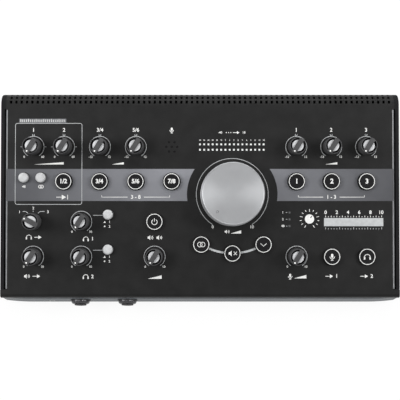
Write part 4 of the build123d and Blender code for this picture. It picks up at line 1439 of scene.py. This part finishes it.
def knob_mesh():
    """A small knob in its own place: grip, pockets, half-moon inserts, pointer dot and shaft."""
    top = KNOB_GAP + KNOB_HEIGHT
    pocket_floor = top - POCKET_DEPTH
    moulding = turned([
        (0, KNOB_GAP),
        (KNOB_RADIUS, KNOB_GAP),
        (KNOB_TOP_RADIUS, top - KNOB_EDGE),
        (KNOB_TOP_RADIUS - KNOB_EDGE * 0.3, top - KNOB_EDGE * 0.3),
        (KNOB_TOP_RADIUS - KNOB_EDGE, top),
        (0, top),
    ])
    for side in (-1, 1):
        pocket = filled([half_moon(POCKET_RADIUS, side)], pocket_floor, POCKET_DEPTH + 1)
        moulding = cut_away(moulding, pocket)
    moulding = soften(moulding, 0.22)
    inserts = [
        soften(filled([half_moon(INSERT_RADIUS, side)], pocket_floor, INSERT_THICK), 0.25)
        for side in (-1, 1)
    ]
    dot = filled([circle((0, POINTER_REACH), POINTER_RADIUS, 24)], top, INK)
    shaft = turned(
        [(0, SHAFT_LOW), (SHAFT_RADIUS, SHAFT_LOW), (SHAFT_RADIUS, KNOB_GAP), (0, KNOB_GAP)], 32
    )
    parts = [moulding, *inserts, dot, shaft]
    for mesh, number in zip(parts, (0, 1, 1, 2, 3)):
        numbered(mesh, number)
    # Painted shade: the pockets' walls and floor take the darker finish
    for face in moulding.polygons:
        in_pocket = face.center.z > KNOB_GAP + 1 and face.center.z < top - 0.3
        if in_pocket and face.center.xy.length < POCKET_RADIUS + 0.02:
            face.material_index = 4
    return gather(parts)


def half_moon(radius, side):
    """The outline of the circle that a grip leaves on one side of it."""
    reach = math.degrees(math.acos(GRIP_WIDTH / 2 / radius))
    return arc((0, 0), radius, 90 * side - reach, 90 * side + reach, 6)


knob_model = knob_mesh()
for name in KNOB_PLACES:
    turn = CUE_START if name == "knob_cue_source" else KNOB_START
    made = piece(
        f"{name}_dressed",
        lay(knob_model.copy(), on_panel(KNOB_PLACES[name], turn)),
        [knob_plastic, insert_satin, pointer_white, shaft_steel, pocket_painted_shade],
        name,
    )
    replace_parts(made, name)


# Power rocker: a ring on the half that is pressed in at rest, a bar on the other
ROCKER_SWING = math.radians(14)
ROCKER_OUT = 4.4  # from the axle to the rocker's face at its ends
ROCKER_HALF = 8.9
ROCKER_LINE = 0.55


def rocker_face(side):
    """The middle of one half of the rocker's face, which is upright above and leans out below."""
    tilt = ROCKER_SWING / 2
    out, rise = ROCKER_OUT - ROCKER_HALF * math.tan(tilt) / 2, side * ROCKER_HALF / 2
    axle = Vector(joints["switch_power"]["pos_m"]) * 1000
    away = out * math.cos(tilt) - rise * math.sin(tilt)
    height = out * math.sin(tilt) + rise * math.cos(tilt)
    lean = 0.0 if side > 0 else ROCKER_SWING
    return facing(
        (axle.x, axle.y + away, axle.z + height), (-1, 0, 0), (0, -math.sin(lean), math.cos(lean))
    )


off_mark = lay(lines([closed_path(circle((0, 0), 1.7, 28))], ROCKER_LINE, white_ink), rocker_face(1))
on_mark = lay(lines([[(0, -1.9), (0, 1.9)]], ROCKER_LINE, white_ink), rocker_face(-1))
piece("power_rocker_marks", gather([off_mark, on_mark]), [white_ink], "rocker")

# White caps over the small buttons
CAP_RADIUS = 4.95
CAP_ROUNDING = 2.0
CAP_SHOULDER = 3.1
CAP_TOP = 5.2


def cap_mesh():
    """A domed cap round a small button."""
    inner = CAP_RADIUS - CAP_ROUNDING
    shoulder = [
        (inner + CAP_ROUNDING * math.cos(turn), CAP_SHOULDER + CAP_ROUNDING * math.sin(turn))
        for turn in (math.pi / 2 * step / 8 for step in range(9))
    ]
    return turned([(0, -1.0), (CAP_RADIUS, -1.0), *shoulder, (1.5, CAP_TOP - 0.03), (0, CAP_TOP)], 56)


cap_model = cap_mesh()
for name in SMALL_BUTTONS:
    piece(
        f"{name}_cap",
        lay(cap_model.copy(), on_panel(BUTTON_PLACES[name])),
        [white_plastic],
        name,
    )


def map_round(cap):
    """Gives a cap the map "around", which runs round its axis and from its middle to its foot."""
    mapped = cap.uv_layers.new(name="around")
    for face in cap.polygons:
        turns = []
        for loop in face.loop_indices:
            spot = cap.vertices[cap.loops[loop].vertex_index].co
            radius = math.hypot(spot.x, spot.y)
            angle = math.atan2(spot.y, spot.x) if radius > 1e-4 else None
            turns.append((loop, angle, radius - spot.z))
        known = [angle for _, angle, _ in turns if angle is not None]
        for loop, angle, run in turns:
            angle = sum(known) / len(known) if angle is None else angle
            if max(known) - min(known) > math.pi and angle < 0:
                angle += math.tau
            mapped.data[loop].uv = (angle / math.tau, run / 20)


def volume_mesh():
    """The turned cap, with its skirt, bright chamfer, slightly dished face and pointer dimple."""
    top = KNOB_GAP + VOLUME_HEIGHT
    rim = VOLUME_RADIUS - VOLUME_EDGE
    dish = [(radius, top - DISH - DISH * (1 - radius / 29)) for radius in (24, 18, 12, 6, 2)]
    cap = turned([
        (0, KNOB_GAP),
        (VOLUME_BASE_RADIUS - 0.3, KNOB_GAP),
        (VOLUME_BASE_RADIUS, KNOB_GAP + 0.3),
        (VOLUME_BASE_RADIUS - 0.1, KNOB_GAP + 2.2),
        (VOLUME_BASE_RADIUS - 0.6, KNOB_GAP + 2.6),
        (VOLUME_RADIUS, top - VOLUME_EDGE),
        (rim, top),
        (rim - 0.25, top),
        (rim - 0.5, top - DISH),
        *dish,
        (0, top - 2 * DISH),
    ], 160)
    ball = bmesh.new()
    bmesh.ops.create_uvsphere(ball, u_segments=24, v_segments=16, radius=DIMPLE_RADIUS)
    bmesh.ops.translate(ball, verts=ball.verts, vec=(0, DIMPLE_REACH, top - DISH))
    cutter = bpy.data.meshes.new("dimple")
    ball.to_mesh(cutter)
    ball.free()
    cap = cut_away(cap, cutter)
    dimple = Vector((0, DIMPLE_REACH, top))
    # Painted shade: the faces deep in the dimple take the near-black finish
    for face in cap.polygons:
        close_by = (face.center - dimple).length < DIMPLE_RADIUS * 1.05
        face.material_index = int(close_by and face.center.z < top - DIMPLE_RADIUS * 0.5)
    map_round(cap)
    return cap


volume = piece(
    "volume_knob_dressed",
    lay(volume_mesh(), on_panel(VOLUME_PLACE, VOLUME_START)),
    [turned_aluminium, painted_hole_shade],
    "volume",
    math.radians(20),
)
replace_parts(volume, "volume_knob")


# Button legends: a white ring and a mark on each round button


def button_print(name):
    """The ring and the mark printed on a round button's top."""
    ring = [
        circle((0, 0), RING_RADIUS + RING_WIDTH / 2, 72),
        circle((0, 0), RING_RADIUS - RING_WIDTH / 2, 72),
    ]
    parts = [filled(ring)]
    label = BUTTON_FIGURES.get(name)
    if label:
        parts.append(numerals(label, (0, 0), 5.9 if len(label) > 1 else 6.6, 0.035))
        return gather(parts)
    paths, shapes = BUTTON_MARKS[name]
    parts += [lines(paths, 0.6, white_ink)] + [filled([shape]) for shape in shapes]
    return gather(parts)


BUTTON_FIGURES = {
    "button_source_1_2": "1/2",
    "button_source_3_4": "3/4",
    "button_source_5_6": "5/6",
    "button_source_computer": "7/8",
    "button_monitor_a": "1",
    "button_monitor_b": "2",
    "button_monitor_c": "3",
}
mute_areas = speaker((-0.6, 0), 7.0, 1)[1]
BUTTON_MARKS = {
    "button_studio_on": ([arc((0, -0.3), 2.7, 35, 325, 15), [(0, 0.2), (0, 3.3)]], []),
    "button_mono": (
        [closed_path(circle((-1.4, 0), 2.3, 28)), closed_path(circle((1.4, 0), 2.3, 28))], []
    ),
    "button_mute": ([[(1.4, -1.7), (4.4, 1.7)], [(1.4, 1.7), (4.4, -1.7)]], mute_areas),
    "button_dim": ([[(-2.9, 1.1), (0, -1.7), (2.9, 1.1)]], []),
    "button_talk_to_track": talk_mark((0, 0), 7.4),
    "button_talk_to_cue": headphones((0, 0), 7.4),
}
for name, place in BUTTON_PLACES.items():
    if name in SMALL_BUTTONS:
        continue
    piece(
        f"{name}_print",
        lay(button_print(name), on_panel(place, rise=BUTTON_HEIGHT)),
        [white_ink],
        name,
    )

# ---------------------------------------------------------------- studio

CAMERA_PLACE = (0.0, 74.32, 893.0)  # u, v and height over the panel
CAMERA_LENS = 81.0
CAMERA_TILT = 22 / 900  # the view leans to the rear by this much
SENSOR = 36.0

eye = panel_corner + (
    right * CAMERA_PLACE[0] + up_panel * CAMERA_PLACE[1] + out_of_panel * CAMERA_PLACE[2]
) / 1000
sight = (up_panel * CAMERA_TILT - out_of_panel).normalized()
camera_data = bpy.data.cameras.new("camera")
camera_data.lens = CAMERA_LENS
camera_data.sensor_width = SENSOR
camera_data.clip_start = 0.01
camera = bpy.data.objects.new("camera", camera_data)
view_axes = Matrix((right, sight.cross(-right), -sight)).transposed().to_4x4()
camera.matrix_world = Matrix.Translation(eye) @ view_axes
bpy.context.collection.objects.link(camera)
bpy.context.scene.camera = camera


def lamp(name, place, aim, width, length, power):
    """A soft area lamp that looks at a point."""
    data = bpy.data.lights.new(name, "AREA")
    data.shape = "RECTANGLE"
    data.size = width
    data.size_y = length
    data.energy = power
    made = bpy.data.objects.new(name, data)
    made.location = place
    made.rotation_euler = (Vector(aim) - Vector(place)).to_track_quat("-Z", "Y").to_euler()
    bpy.context.collection.objects.link(made)


SIDE_SIZE, SIDE_POWER = 0.6, 12.6
lamp("left_lamp", (-1.0, 0.0, 1.0), (0, 0, 0.04), SIDE_SIZE, SIDE_SIZE, SIDE_POWER)
lamp("right_lamp", (1.05, 0.0, 1.0), (0, 0, 0.04), SIDE_SIZE, SIDE_SIZE, SIDE_POWER)
lamp("rear_lamp", (0.05, 0.5, 1.0), (0.05, 0, 0.04), 0.7, 0.4, 2.4)
lamp("roll_lamp", (0.0, 1.0, 0.62), (0, 0.09, 0.06), 1.6, 0.35, 7.0)


def seen_or_mirrored(tree):
    """One for what the camera sees straight, in a reflection or through glass, and nought for the rest."""
    seen = tree.nodes.new("ShaderNodeLightPath").outputs
    any_way = seen["Is Camera Ray"]
    for way in ("Is Glossy Ray", "Is Transmission Ray"):
        any_way = add_node(
            tree, "ShaderNodeMath", {0: any_way, 1: seen[way]}, operation="MAXIMUM"
        ).outputs[0]
    return any_way


world = bpy.data.worlds.new("studio_air")
world.use_nodes = True
air = world.node_tree
background = air.nodes["Background"]
fill(air, background, {"Color": (1, 1, 1, 1), "Strength": 0.34})
white_wall = add_node(air, "ShaderNodeBackground", {"Strength": 1.0})
walls = {"Fac": seen_or_mirrored(air), 1: background.outputs[0], 2: white_wall.outputs[0]}
wall_mix = add_node(air, "ShaderNodeMixShader", walls)
fill(air, air.nodes["World Output"], {"Surface": wall_mix.outputs[0]})
bpy.context.scene.world = world


def floor_finish():
    """A white floor that keeps the shadow and shows bright to the camera and in reflections."""
    material = bpy.data.materials.new("studio_floor")
    material.use_nodes = True
    tree = material.node_tree
    shader = tree.nodes["Principled BSDF"]
    fill(tree, shader, {"Base Color": (0.86, 0.86, 0.86, 1), "Roughness": 0.9})
    glow = add_node(tree, "ShaderNodeEmission", {"Strength": 1.0})
    share = add_node(
        tree, "ShaderNodeMath", {0: seen_or_mirrored(tree), 1: FLOOR_GLOW}, operation="MULTIPLY"
    )
    mix = add_node(
        tree, "ShaderNodeMixShader", {"Fac": share.outputs[0], 1: shader.outputs[0], 2: glow.outputs[0]}
    )
    fill(tree, tree.nodes["Material Output"], {"Surface": mix.outputs[0]})
    return material


FLOOR_HALF = 12.0
FLOOR_GLOW = 0.92  # how much of the floor is plain white to the camera
floor_mesh = bpy.data.meshes.new("floor")
floor_mesh.from_pydata(
    [(x * FLOOR_HALF, y * FLOOR_HALF, 0) for x, y in ((-1, -1), (1, -1), (1, 1), (-1, 1))],
    [],
    [(0, 1, 2, 3)],
)
floor_mesh.materials.append(floor_finish())
floor = bpy.data.objects.new("floor", floor_mesh)
bpy.context.collection.objects.link(floor)
floor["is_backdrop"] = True

bpy.context.scene.view_settings.view_transform = "Standard"

low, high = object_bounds()
